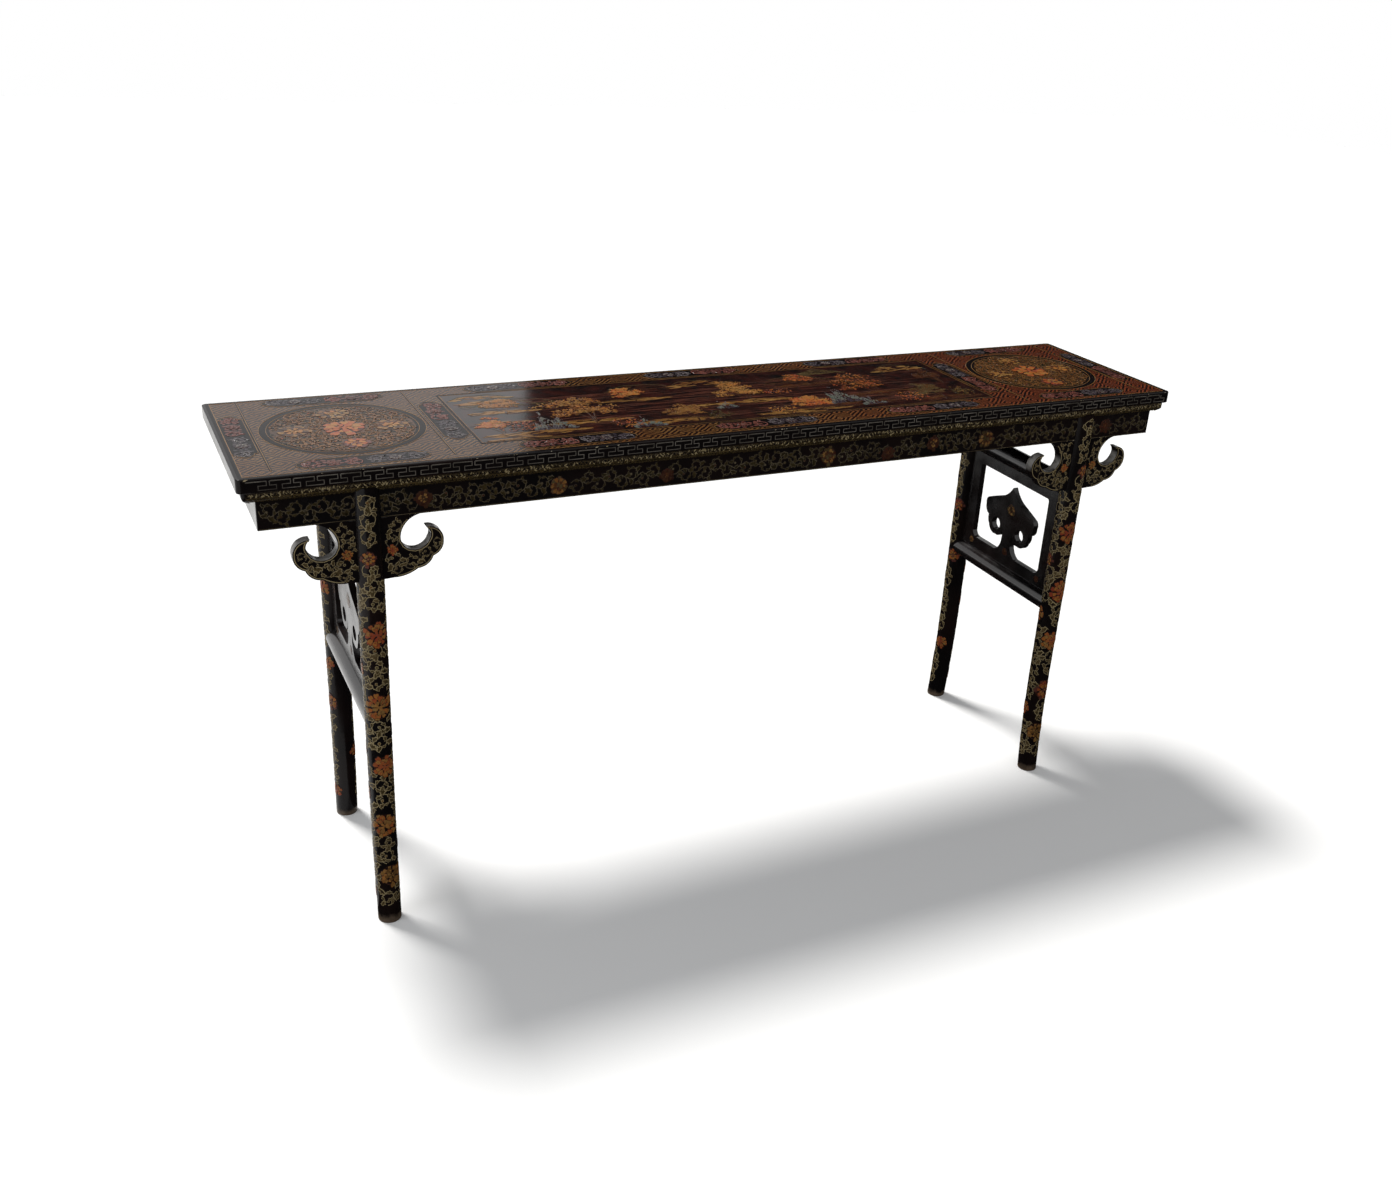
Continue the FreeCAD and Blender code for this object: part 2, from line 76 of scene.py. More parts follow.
# Forms of the legs, the moulding and the spandrels that the nodes' boxes don't give
LEG_Y = 170.0 * MM
LEG_TOP_RADIUS = 22.3 * MM
LEG_FOOT_RADIUS = 20.3 * MM
LEG_KICK = 10.8 * MM
LEG_KICK_HEIGHT = 254.0 * MM
MOULDING_ROUND = 14.0 * MM
MOULDING_CORNER = 6.0 * MM
SLAB_CORNER = 8.0 * MM
SPANDREL_REACH = 118.0 * MM
SPANDREL_DROP = 106.0 * MM
SPANDREL_START = (0.68, 0.0)
SPANDREL_ARCS = [
    ((0.502, 0.110), (0.418, 0.305)),
    ((0.593, 0.568), (0.805, 0.425)),
    ((0.822, 0.310), (0.765, 0.222)),
    ((0.930, 0.275), (1.000, 0.470)),
    ((0.965, 0.608), (0.852, 0.705)),
    ((0.787, 0.815), (0.636, 0.880)),
    ((0.492, 0.960), (0.310, 0.985)),
]

# Places on the top, in millimetres from its middle
CARTOUCHE_PITCH = 352.0
LAYOUT_SHIFT = 5.0

# The lattice of the top: the side of one lozenge, and the lines nested in its half
LATTICE_CELL = 62.4 * MM
LATTICE_RINGS = 6.0
LATTICE_GAP_SHARE = 0.57
LATTICE_END_HEM = 8.5 * MM
LATTICE_SIDE_HEM = 9.5 * MM

# Added to a place on the top before its fraction is taken, so that it is never negative, in metres
WELL_CLEAR = 10.0

# Strokes that cross lie at heights that differ by less than this
OVERLAP = 0.05 * MM


def length(label, default, text, precision=3):
    """A length that a user can change, given in millimetres."""
    return bpy.props.FloatProperty(
        name=label, description=text, default=default * MM, unit="LENGTH", precision=precision)


class AltarTableSizes(bpy.types.PropertyGroup):
    """Sizes of the decoration."""

    relief: length("Paint Relief", 0.25, "How far the paint stands off the lacquer", 5)
    fret_pitch: length("Fret Pitch", 34.4, "Length of one key of the fret", 4)
    fret_height: length("Fret Height", 13.4, "Height of the key fret on the slab's edge", 4)
    fret_line: length("Fret Line", 2.1, "Width of the key fret's line", 4)
    vine_line: length("Vine Line", 2.0, "Width of the scrolling vine's stem", 4)
    medallion_radius: length("Medallion Radius", 134.0, "Outer radius of the round medallions")
    medallion_place: length("Medallion Place", 702.0, "Distance of a medallion from the table's middle")
    picture_length: length("Picture Length", 1024.0, "Length of the garden picture in the middle")
    picture_depth: length("Picture Depth", 280.0, "Depth of the garden picture in the middle")


def colour(label, default, text):
    """A colour that a user can change."""
    return bpy.props.FloatVectorProperty(
        name=label, description=text, default=default, size=3, min=0, max=1, subtype="COLOR")


class AltarTableColours(bpy.types.PropertyGroup):
    """Colours of the lacquer and the paints."""

    black: colour("Black Lacquer", (0.0050, 0.0040, 0.0042), "Ground of the whole table")
    brown: colour("Brown Lacquer", (0.0125, 0.0065, 0.0055), "Where the black has worn thin")
    maroon: colour("Maroon Lacquer", (0.034, 0.009, 0.007), "Ground of the garden picture")
    gold: colour("Gold", (0.27, 0.150, 0.045), "Fine lines and gilding")
    ochre: colour("Ochre", (0.19, 0.078, 0.020), "Ruled lines, banks and yellow petals")
    cream: colour("Cream", (0.36, 0.285, 0.155), "Vines of the legs and outlines of the spandrels")
    tan: colour("Tan", (0.100, 0.068, 0.030), "Outlines of the lappets, far ridges and faded petals")
    olive: colour("Olive", (0.052, 0.036, 0.012), "Leaves of the vines")
    moss: colour("Moss", (0.016, 0.012, 0.005), "Leaves of the aprons and the dark lappets")
    red: colour("Red", (0.27, 0.040, 0.020), "Peonies and trees")
    orange: colour("Orange", (0.36, 0.125, 0.026), "Peonies and trees")
    pink: colour("Pink", (0.135, 0.046, 0.036), "Blossoms in the cartouches")
    rose: colour("Rose", (0.195, 0.068, 0.049), "Edges of the pink blossoms")
    mist: colour("Mist", (0.150, 0.128, 0.124), "Edges of the lavender blossoms and light on the rocks")
    lavender: colour("Lavender", (0.052, 0.041, 0.045), "Blossoms in the cartouches and dark of the rocks")
    teal: colour("Blue Green", (0.085, 0.112, 0.092), "Rocks of the garden picture")
    grey: colour("Grey", (0.20, 0.180, 0.155), "Key fret")
    chip: colour("Bare Ground", (0.52, 0.46, 0.38), "Where the lacquer has chipped off")
    floor: colour("Floor", (0.90, 0.90, 0.90), "Studio floor")


def sizes():
    return bpy.context.scene.altar_table_sizes


def colours():
    return bpy.context.scene.altar_table_colours


# Materials


class Nodes:
    """A node tree under construction."""

    def __init__(self, tree):
        self.tree = tree

    def add(self, kind, settings=(), **inputs):
        """Adds a node. An input is a value, or another node's output."""
        node = self.tree.nodes.new(kind)
        for key, value in dict(settings).items():
            setattr(node, key, value)
        for key, value in inputs.items():
            self.feed(node.inputs[key.replace("_", " ")], value)
        return node

    def feed(self, socket, value):
        if isinstance(value, bpy.types.NodeSocket):
            self.tree.links.new(value, socket)
        else:
            socket.default_value = value

    def maths(self, operation, first, second=0.0):
        node = self.add("ShaderNodeMath", {"operation": operation})
        self.feed(node.inputs[0], first)
        self.feed(node.inputs[1], second)
        return node.outputs[0]


class Finish(Nodes):
    """A material under construction."""

    def __init__(self, name):
        self.material = bpy.data.materials.new(name)
        self.material.use_nodes = True
        super().__init__(self.material.node_tree)
        self.shader = self.tree.nodes["Principled BSDF"]
        self.place = self.tree.nodes.new("ShaderNodeTexCoord").outputs["Object"]

    def mix(self, factor, first, second):
        """Blends two colours."""
        node = self.add("ShaderNodeMix", {"data_type": "RGBA"})
        self.feed(node.inputs[0], factor)
        for socket, value in ((node.inputs[6], first), (node.inputs[7], second)):
            self.feed(socket, value if isinstance(value, bpy.types.NodeSocket) else (*value, 1))
        return node.outputs[2]

    def noise(self, scale, detail=3.0, stretch=(1, 1, 1)):
        """Noise over the table's own space."""
        moved = self.add("ShaderNodeMapping", Vector=self.place, Scale=stretch)
        node = self.add("ShaderNodeTexNoise", Vector=moved.outputs[0], Scale=scale, Detail=detail)
        return node.outputs["Fac"]

    def step(self, value, low, high):
        """Nought below low, one above high, and a slope between."""
        return self.add("ShaderNodeMapRange", Value=value, From_Min=low, From_Max=high).outputs[0]

    def patches(self, scale, detail, low, high, stretch=(1, 1, 1)):
        """Soft-edged patches: nought outside them, one inside."""
        return self.step(self.noise(scale, detail, stretch), low, high)

    def set(self, **inputs):
        for key, value in inputs.items():
            self.feed(self.shader.inputs[key.replace("_", " ")], value)

    def bump(self, height, distance, strength=1.0):
        node = self.add("ShaderNodeBump", Height=height, Distance=distance, Strength=strength)
        self.feed(self.shader.inputs["Normal"], node.outputs[0])


def lacquer_colour(finish, deep, worn):
    """Black lacquer that wears brown in soft patches and fine rubs."""
    patches = finish.patches(7.0, 5.0, 0.42, 0.72)
    rubs = finish.patches(90.0, 2.0, 0.62, 0.80, (1, 1, 0.25))
    both = finish.maths("MAXIMUM", patches, finish.maths("MULTIPLY", rubs, 0.55))
    return finish.mix(both, deep, worn)


def lacquer_gloss(finish, low, high, shine, coat, waves=0.4):
    """Polish, dulled by handling, over a surface that isn't quite flat."""
    dull = finish.patches(23.0, 6.0, 0.35, 0.75)
    finish.set(Roughness=finish.add("ShaderNodeMapRange", Value=dull, To_Min=low, To_Max=high).outputs[0])
    finish.set(Specular_IOR_Level=shine, Coat_Weight=coat, Coat_Roughness=0.12)
    finish.bump(finish.noise(38.0, 4.0), 0.25 * MM, waves)


def black_lacquer(name, shine, coat, worn_foot=False):
    """Plain black-brown lacquer."""
    tints = colours()
    finish = Finish(name)
    base = lacquer_colour(finish, tints.black, tints.brown)
    if worn_foot:
        height = finish.add("ShaderNodeSeparateXYZ", Vector=finish.place).outputs["Z"]
        ragged = finish.maths("MULTIPLY", finish.noise(60.0, 4.0), 26 * MM)
        low = finish.step(finish.maths("SUBTRACT", height, ragged), 4 * MM, -8 * MM)
        base = finish.mix(finish.maths("MULTIPLY", low, 0.75), base, (0.16, 0.115, 0.08))
    finish.set(Base_Color=base)
    lacquer_gloss(finish, 0.15, 0.30, shine, coat, 0.18)
    return finish.material


def carved_lacquer(name):
    """Polished lacquer, with a pale painted sheen on the sawn edges that look upwards, broken into patches.
    """
    tints = colours()
    finish = Finish(name)
    base = lacquer_colour(finish, tints.black, tints.brown)
    normal = finish.add("ShaderNodeNewGeometry").outputs["Normal"]
    split = finish.add("ShaderNodeSeparateXYZ", Vector=normal)
    sideways = finish.step(finish.maths("ABSOLUTE", split.outputs["Y"]), 0.75, 0.35)
    upwards = finish.step(split.outputs["Z"], -0.25, 0.45)
    patchy = finish.patches(55.0, 4.0, 0.30, 0.55)
    # Painted sheen: the sawn edges that face upwards are painted pale grey in patches, standing in for the
    # polish's reflection
    worn = finish.maths("MULTIPLY", finish.maths("MULTIPLY", sideways, upwards), patchy)
    finish.set(Base_Color=finish.mix(worn, base, (0.42, 0.40, 0.375)))
    lacquer_gloss(finish, 0.14, 0.26, 0.07, 0.0)
    return finish.material


def paint(name, first, second, metal=0.0, rub=0.35, rough=0.22, shine=0.13):
    """Oil paint of two tints, rubbed through in places to the lacquer below."""
    finish = Finish(name)
    base = finish.mix(finish.patches(34.0, 3.0, 0.35, 0.65), first, second)
    grain = finish.patches(420.0, 2.0, 0.30, 0.75)
    base = finish.mix(finish.maths("MULTIPLY", grain, 0.35), base, [v * 0.45 for v in second])
    rubbed = finish.patches(11.0, 5.0, 0.52, 0.70)
    base = finish.mix(finish.maths("MULTIPLY", rubbed, rub), base, colours().brown)
    finish.set(Base_Color=base, Metallic=metal, Roughness=rough, Specular_IOR_Level=shine)
    finish.bump(finish.noise(500.0, 2.0), 0.08 * MM, 0.6)
    return finish.material


def lattice_lacquer(name):
    """The top: nested lozenges in gold on red ochre, inside a plain black border."""
    tints = colours()
    finish = Finish(name)
    split = finish.add("ShaderNodeSeparateXYZ", Vector=finish.place)
    along, across = split.outputs["X"], split.outputs["Y"]
    rings = []
    for axis in (along, across):
        cells = finish.maths("DIVIDE", finish.maths("ADD", axis, WELL_CLEAR), LATTICE_CELL)
        wrapped = finish.maths("FRACT", cells)
        rings.append(finish.maths("ABSOLUTE", finish.maths("SUBTRACT", wrapped, 0.5)))
    lozenge = finish.maths("MULTIPLY", finish.maths("ADD", rings[0], rings[1]), LATTICE_RINGS)
    wobble = finish.maths("MULTIPLY", finish.noise(60.0, 2.0), 0.7)
    phase = finish.maths("FRACT", finish.maths("ADD", lozenge, wobble))
    line = finish.maths("GREATER_THAN", phase, LATTICE_GAP_SHARE)
    line = finish.maths("MULTIPLY", line, finish.patches(190.0, 3.0, 0.22, 0.40))
    ground = finish.mix(finish.patches(5.0, 4.0, 0.35, 0.65), (0.007, 0.004, 0.004),
                        (0.018, 0.007, 0.005))
    gold = finish.mix(finish.patches(8.0, 4.0, 0.35, 0.65), (0.107, 0.042, 0.013),
                      (0.138, 0.070, 0.023))
    gold = finish.mix(finish.step(along, -0.1, 0.65), gold, (0.150, 0.036, 0.015))
    pattern = finish.mix(line, ground, gold)
    inside = 1.0
    for axis, reach in ((along, HALF_LENGTH - LATTICE_END_HEM), (across, HALF_DEPTH - LATTICE_SIDE_HEM)):
        near = finish.maths("LESS_THAN", finish.maths("ABSOLUTE", axis), reach)
        inside = finish.maths("MULTIPLY", near, inside)
    up = finish.add("ShaderNodeSeparateXYZ", Vector=finish.add("ShaderNodeNewGeometry").outputs["Normal"])
    inside = finish.maths("MULTIPLY", inside, finish.maths("GREATER_THAN", up.outputs["Z"], 0.9))
    black = lacquer_colour(finish, tints.black, tints.brown)
    finish.set(Base_Color=finish.mix(inside, black, pattern))
    lacquer_gloss(finish, 0.14, 0.24, 0.12, 0.0)
    return finish.material


PALETTE = {}


def ready():
    """Makes the paints, the trees and the motifs before the first step that needs them."""
    if not PALETTE:
        mix_palette()
        plant_trees()
        cut_motifs()


# Paints: name, two tints, and how rubbed, rough, shiny or metallic they are where it isn't as usual.
# A tint is a colour, or the name of one that the user can change.
PAINTS = {
    "underside": ("thin_underside_lacquer", "brown", (0.05, 0.03, 0.02), {"rough": 0.6}),
    "maroon": ("maroon_lacquer", "maroon", "black", {"rub": 0.5, "rough": 0.16, "shine": 0.17}),
    "ground": ("painted_black_ground", "black", (0.0075, 0.0055, 0.0055),
               {"rub": 0.15, "rough": 0.16, "shine": 0.06}),
    "gold": ("gold_line", "gold", "ochre", {"metal": 0.35}),
    "ochre": ("ochre_paint", "ochre", "gold", {}),
    "cream": ("cream_paint", "cream", (0.27, 0.21, 0.11), {"rub": 0.25}),
    "olive": ("olive_paint", "olive", "tan", {}),
    "tan": ("tan_paint", "tan", "olive", {}),
    "moss": ("moss_paint", "moss", "olive", {}),
    "red": ("red_paint", "red", "orange", {"rub": 0.2}),
    "orange": ("orange_paint", "orange", "gold", {"rub": 0.2}),
    "pink": ("pink_paint", "pink", (0.095, 0.030, 0.023), {"rub": 0.2}),
    "rose": ("rose_paint", "rose", "pink", {"rub": 0.2}),
    "lavender": ("lavender_paint", "lavender", (0.035, 0.026, 0.034), {"rub": 0.2}),
    "mist": ("mist_paint", "mist", "lavender", {"rub": 0.2}),
    "bark": ("bark_paint", (0.030, 0.013, 0.008), (0.065, 0.028, 0.012), {}),
    "ember": ("ember_paint", (0.070, 0.020, 0.010), (0.030, 0.010, 0.006), {"rub": 0.5}),
    "teal": ("blue_green_paint", "teal", (0.11, 0.10, 0.085), {"rub": 0.2}),
    "grey": ("fret_paint", "grey", (0.085, 0.075, 0.062), {"rub": 0.55}),
    "honey": ("honey_paint", (0.150, 0.060, 0.018), (0.190, 0.086, 0.026), {}),
    "amber": ("amber_paint", (0.088, 0.033, 0.011), (0.052, 0.022, 0.008), {}),
    "sage": ("sage_paint", (0.120, 0.094, 0.034), (0.064, 0.046, 0.018), {}),
    "drab": ("drab_paint", (0.160, 0.130, 0.082), (0.080, 0.059, 0.032), {}),
    "dusk": ("dusk_paint", (0.115, 0.036, 0.020), (0.060, 0.020, 0.012), {"rub": 0.35}),
    "dun": ("dun_paint", (0.115, 0.092, 0.056), (0.058, 0.043, 0.024), {}),
    "chip": ("bare_ground", "chip", "cream", {"rub": 0.1, "rough": 0.8}),
}


def mix_palette():
    """All the finishes, by name."""
    PALETTE["plain"] = black_lacquer("black_lacquer", 0.50, 0.0)
    PALETTE["polished"] = black_lacquer("polished_black_lacquer", 0.50, 0.30)
    PALETTE["satin"] = black_lacquer("satin_black_lacquer", 0.12, 0.0)
    PALETTE["carved"] = carved_lacquer("carved_lacquer")
    PALETTE["legs"] = black_lacquer("black_lacquer_worn_foot", 0.13, 0.0, worn_foot=True)
    PALETTE["top"] = lattice_lacquer("lattice_lacquer")
    for key, (name, *pair, manner) in PAINTS.items():
        tints = [getattr(colours(), tint) if isinstance(tint, str) else tint for tint in pair]
        PALETTE[key] = paint(name, *tints, **manner)


# Geometry node trees


class Grower(Nodes):
    """A geometry node tree under construction, with named inputs."""

    def __init__(self, name, inputs):
        super().__init__(bpy.data.node_groups.new(name, "GeometryNodeTree"))
        sockets = self.tree.interface
        sockets.new_socket(name="Geometry", in_out="INPUT", socket_type="NodeSocketGeometry")
        for label, kind in inputs.items():
            sockets.new_socket(name=label, in_out="INPUT", socket_type="NodeSocket" + kind)
        sockets.new_socket(name="Geometry", in_out="OUTPUT", socket_type="NodeSocketGeometry")
        self.inputs = self.tree.nodes.new("NodeGroupInput").outputs
        self.end = self.tree.nodes.new("NodeGroupOutput")

    def vector(self, x=0.0, y=0.0, z=0.0):
        return self.add("ShaderNodeCombineXYZ", X=x, Y=y, Z=z).outputs[0]

    def attribute(self, name, kind="FLOAT"):
        return self.add("GeometryNodeInputNamedAttribute", {"data_type": kind}, Name=name).outputs[0]

    def shape(self, name):
        """The geometry of the object that an input names."""
        return self.add("GeometryNodeObjectInfo", Object=self.inputs[name]).outputs["Geometry"]

    def chance(self, low, high, seed):
        """A random number for each point."""
        node = self.add("FunctionNodeRandomValue", {"data_type": "FLOAT"}, Seed=seed)
        self.feed(node.inputs[2], low)
        self.feed(node.inputs[3], high)
        return node.outputs[1]

    def stamped(self, points, motif, turn, size):
        """The motif on points, each with its turn and size."""
        rotation = self.add("FunctionNodeEulerToRotation", Euler=self.vector(0.0, 0.0, turn)).outputs[0]
        return self.add("GeometryNodeInstanceOnPoints", Points=points, Instance=motif, Rotation=rotation,
                        Scale=self.vector(size, size, self.inputs["Paint Relief"])).outputs[0]

    def finish(self, geometry, rim=False):
        """Ends the tree in Realize Instances and Set Material."""
        real = self.add("GeometryNodeRealizeInstances", Geometry=geometry).outputs[0]
        done = self.add("GeometryNodeSetMaterial", Geometry=real,
                        Material=self.inputs["Material"]).outputs[0]
        if rim:
            edge = self.attribute("rim", "BOOLEAN")
            done = self.add("GeometryNodeSetMaterial", Geometry=done, Selection=edge,
                            Material=self.inputs["Rim Material"]).outputs[0]
        self.tree.links.new(done, self.end.inputs[0])
        return self.tree


def line_profile(grower):
    """The section of a painted line: flat on the lacquer, with sloping sides."""
    width, relief = grower.inputs["Line Width"], grower.inputs["Paint Relief"]
    up = grower.maths("MULTIPLY", relief, -1.0)
    across = [grower.maths("MULTIPLY", width, share) for share in (-0.5, -0.3, 0.3, 0.5)]
    corners = {
        "Point_1": grower.vector(across[0]),
        "Point_2": grower.vector(across[1], up),
        "Point_3": grower.vector(across[2], up),
        "Point_4": grower.vector(across[3]),
    }
    return grower.add("GeometryNodeCurvePrimitiveQuadrilateral", {"mode": "POINTS"}, **corners).outputs[0]


def sweep(grower, curve):
    """Lays the line's section along curves that keep level."""
    level = grower.add("GeometryNodeSetCurveNormal", {"mode": "Z_UP"}, Curve=curve).outputs[0]
    radius = grower.add("GeometryNodeInputRadius").outputs[0]
    swept = grower.add("GeometryNodeCurveToMesh", Curve=level, Profile_Curve=line_profile(grower),
                       Scale=radius, Fill_Caps=True)
    return swept.outputs[0]


def line_tree():
    """Painted lines along curves, as wide as the curve's radius says."""
    grower = Grower("painted_line", {"Line Width": "Float", "Paint Relief": "Float",
                                     "Material": "Material"})
    return grower.finish(sweep(grower, grower.inputs["Geometry"]))


def fret_tree():
    """One key of the fret, repeated along an edge."""
    grower = Grower("key_fret", {"Key": "Object", "Key Count": "Int", "Key Pitch": "Float",
                                 "Line Width": "Float", "Paint Relief": "Float", "Material": "Material"})
    step = grower.vector(grower.inputs["Key Pitch"])
    places = grower.add("GeometryNodeMeshLine", Count=grower.inputs["Key Count"], Offset=step).outputs[0]
    row = grower.add("GeometryNodeInstanceOnPoints", Points=places,
                     Instance=grower.shape("Key")).outputs[0]
    row = grower.add("GeometryNodeRealizeInstances", Geometry=row).outputs[0]
    return grower.finish(sweep(grower, row))


def stamp_tree():
    """A motif stamped on points, each with its own turn and size."""
    grower = Grower("stamped_motif", {"Motif": "Object", "Paint Relief": "Float", "Size Spread": "Float",
                                      "Turn Spread": "Float", "Seed": "Int", "Material": "Material",
                                      "Rim Material": "Material"})

    def around(centre, spread, seed_step):
        reach = grower.inputs[spread]
        return grower.chance(grower.maths("SUBTRACT", centre, reach), grower.maths("ADD", centre, reach),
                             grower.maths("ADD", grower.inputs["Seed"], seed_step))
    size = grower.maths("MULTIPLY", grower.attribute("size"), around(1.0, "Size Spread", 1))
    turn = grower.maths("ADD", grower.attribute("turn"), around(0.0, "Turn Spread", 2))
    stamped = grower.stamped(grower.inputs["Geometry"], grower.shape("Motif"), turn, size)
    return grower.finish(stamped, rim=True)


def scatter_tree():
    """Dabs of the brush, strewn over a region."""
    grower = Grower("scattered_dabs", {"Motif": "Object", "Spacing": "Float", "Density": "Float",
                                       "Least Size": "Float", "Most Size": "Float", "Lean": "Float",
                                       "Lean Spread": "Float", "Paint Relief": "Float", "Seed": "Int",
                                       "Material": "Material", "Rim Material": "Material"})
    points = grower.add("GeometryNodeDistributePointsOnFaces", {"distribute_method": "POISSON"},
                        Mesh=grower.inputs["Geometry"], Distance_Min=grower.inputs["Spacing"],
                        Density_Max=grower.inputs["Density"], Seed=grower.inputs["Seed"]).outputs[0]
    size = grower.chance(grower.inputs["Least Size"], grower.inputs["Most Size"], grower.inputs["Seed"])
    limits = [grower.maths(sign, grower.inputs["Lean"], grower.inputs["Lean Spread"])
              for sign in ("SUBTRACT", "ADD")]
    turn = grower.chance(*limits, 0)
    return grower.finish(grower.stamped(points, grower.shape("Motif"), turn, size), rim=True)


TREES = {}


def plant_trees():
    """All the trees, by name."""
    for name, plant in (("line", line_tree), ("fret", fret_tree), ("stamp", stamp_tree),
                        ("scatter", scatter_tree)):
        TREES[name] = plant()


def grow(tree_name, data, **values):
    """Runs a tree on some geometry and returns the mesh that it makes, as arrays."""
    tree = TREES[tree_name]
    carrier = bpy.data.objects.new("carrier", data)
    bpy.context.scene.collection.objects.link(carrier)
    modifier = carrier.modifiers.new("grow", "NODES")
    modifier.node_group = tree
    for item in tree.interface.items_tree:
        key = item.name.replace(" ", "_")
        if item.in_out == "INPUT" and key in values:
            modifier[item.identifier] = values[key]
    graph = bpy.context.evaluated_depsgraph_get()
    mesh = bpy.data.meshes.new_from_object(carrier.evaluated_get(graph), depsgraph=graph)
    carrier.modifiers.remove(modifier)
    bpy.data.objects.remove(carrier)
    part = mesh_arrays(mesh)
    bpy.data.meshes.remove(mesh)
    return part


def mesh_arrays(mesh):
    """A mesh as vertex places, loops, loop counts and the material of each face."""
    places = np.empty(len(mesh.vertices) * 3)
    mesh.vertices.foreach_get("co", places)
    loops = np.empty(len(mesh.loops), np.int32)
    mesh.loops.foreach_get("vertex_index", loops)
    totals = np.empty(len(mesh.polygons), np.int32)
    mesh.polygons.foreach_get("loop_total", totals)
    index = np.empty(len(mesh.polygons), np.int32)
    mesh.polygons.foreach_get("material_index", index)
    return {"places": places.reshape(-1, 3), "loops": loops, "totals": totals, "index": index,
            "materials": list(mesh.materials)}


def raised(part, height):
    """The same paint, one coat higher."""
    part["places"][:, 2] += height
    return part


def piece(name, parts, wrap):
    """Joins painted parts into one piece and lays it on what carries it."""
    materials = []
    for part in parts:
        for material in part["materials"]:
            if material not in materials:
                materials.append(material)
    places, loops, totals, index = [], [], [], []
    base = 0
    for part in parts:
        places.append(part["places"])
        loops.append(part["loops"] + base)
        totals.append(part["totals"])
        table = np.array([materials.index(m) for m in part["materials"]], np.int32)
        index.append(table[part["index"]])
        base += len(part["places"])
    places = wrap(np.concatenate(places))
    loops, totals, index = np.concatenate(loops), np.concatenate(totals), np.concatenate(index)
    mesh = bpy.data.meshes.new(name)
    mesh.vertices.add(len(places))
    mesh.vertices.foreach_set("co", places.ravel())
    mesh.loops.add(len(loops))
    mesh.loops.foreach_set("vertex_index", loops)
    mesh.polygons.add(len(totals))
    mesh.polygons.foreach_set("loop_start", np.concatenate(([0], np.cumsum(totals)[:-1])))
    mesh.polygons.foreach_set("loop_total", totals)
    mesh.polygons.foreach_set("material_index", index)
    for material in materials:
        mesh.materials.append(material)
    mesh.update(calc_edges=True)
    mesh.validate()
    mesh.shade_flat()
    return dress(name, mesh)


def dress(name, mesh):
    """A finished piece that rides on the table."""
    made = bpy.data.objects.new(name, mesh)
    bpy.context.scene.collection.objects.link(made)
    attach(made, BODY)
    return made


# Motifs


def pad(name, outline, edge=0.07):
    """A raised dab of paint: an outline with a sloping rim of even width, one unit high."""
    outline = np.array(outline, float)
    ahead = np.roll(outline, -1, 0) - outline
    ahead /= np.linalg.norm(ahead, axis=1)[:, None]
    both = ahead + np.roll(ahead, 1, 0)
    shared = 1 + (ahead * np.roll(ahead, 1, 0)).sum(1)
    inner = outline + edge * np.column_stack((-both[:, 1], both[:, 0])) / np.maximum(shared, 0.5)[:, None]
    count = len(outline)
    places = [(x, y, 0) for x, y in outline] + [(x, y, 1) for x, y in inner]
    faces = [(i, (i + 1) % count, count + (i + 1) % count, count + i) for i in range(count)]
    faces.append(tuple(range(count, 2 * count)))
    faces.append(tuple(reversed(range(count))))
    mesh = bpy.data.meshes.new(name)
    mesh.from_pydata(places, [], faces)
    rim = mesh.attributes.new("rim", "BOOLEAN", "FACE")
    rim.data.foreach_set("value", [True] * count + [False, False])
    return bpy.data.objects.new(name, mesh)


def leaf_outline(curl, width):
    """A leaf one unit long that curls to the left, with lobes along its outer side."""
    share = np.linspace(0, 1, 51)
    angle = -0.35 + curl * share ** 1.5
    spine = np.cumsum(np.column_stack((np.cos(angle), np.sin(angle))), 0) / len(share)

    def beside(at, out):
        i = round(at * 50)
        half = width * math.sin(math.pi * min(1.0, at * 0.93 + 0.05) ** 0.8) * out
        return spine[i] + half * np.array((math.sin(angle[i]), -math.cos(angle[i])))
    outer = ((0.0, 0.5), (0.14, 1.25), (0.27, 0.72), (0.40, 1.3), (0.54, 0.75), (0.68, 1.25), (0.83, 0.6))
    inner = ((0.85, -0.35), (0.62, -0.75), (0.38, -0.85), (0.15, -0.7))
    return [beside(*spot) for spot in outer] + [spine[-1]] + [beside(*spot) for spot in inner]


def mirrored(outline):
    return [(x, -y) for x, y in reversed(outline)]


def ring_outline(count):
    """A circle."""
    return [(math.cos(TURN * i / count), math.sin(TURN * i / count)) for i in range(count)]


MOTIFS = {}


def cut_motifs():
    """All the motifs, one unit long and one unit high."""
    leaf = leaf_outline(2.0, 0.30)
    MOTIFS["leaf_left"] = pad("leaf_left", leaf, 0.075)
    MOTIFS["leaf_right"] = pad("leaf_right", mirrored(leaf), 0.075)
    leaflet = np.array([leaf[i] for i in (0, 1, 3, 5, 7, 8, 10)])
    MOTIFS["leaflet"] = pad("leaflet", leaflet - leaflet.mean(0), 0.065)
    MOTIFS["stroke"] = pad("stroke", [(-0.5, 0), (-0.2, -0.075), (0.3, -0.06), (0.5, 0.01), (0.2, 0.075),
                                      (-0.25, 0.06)], 0.02)
    MOTIFS["petal"] = pad("petal", [(0.05, -0.1), (0.5, -0.34), (0.84, -0.34), (0.97, -0.16), (0.90, 0),
                                    (0.97, 0.16), (0.84, 0.34), (0.5, 0.34), (0.05, 0.1)], 0.06)
    MOTIFS["lappet"] = pad("lappet", [(-0.5, 0), (-0.42, -0.55), (0, -1.0), (0.42, -0.55), (0.5, 0)], 0.13)
    MOTIFS["dab"] = pad("dab", [(-0.5, -0.02), (-0.1, -0.20), (0.5, 0.02), (0.1, 0.19), (-0.3, 0.15)], 0.08)
    MOTIFS["disc"] = pad("disc", ring_outline(24), 0.04)
    MOTIFS["dot"] = pad("dot", ring_outline(8), 0.3)


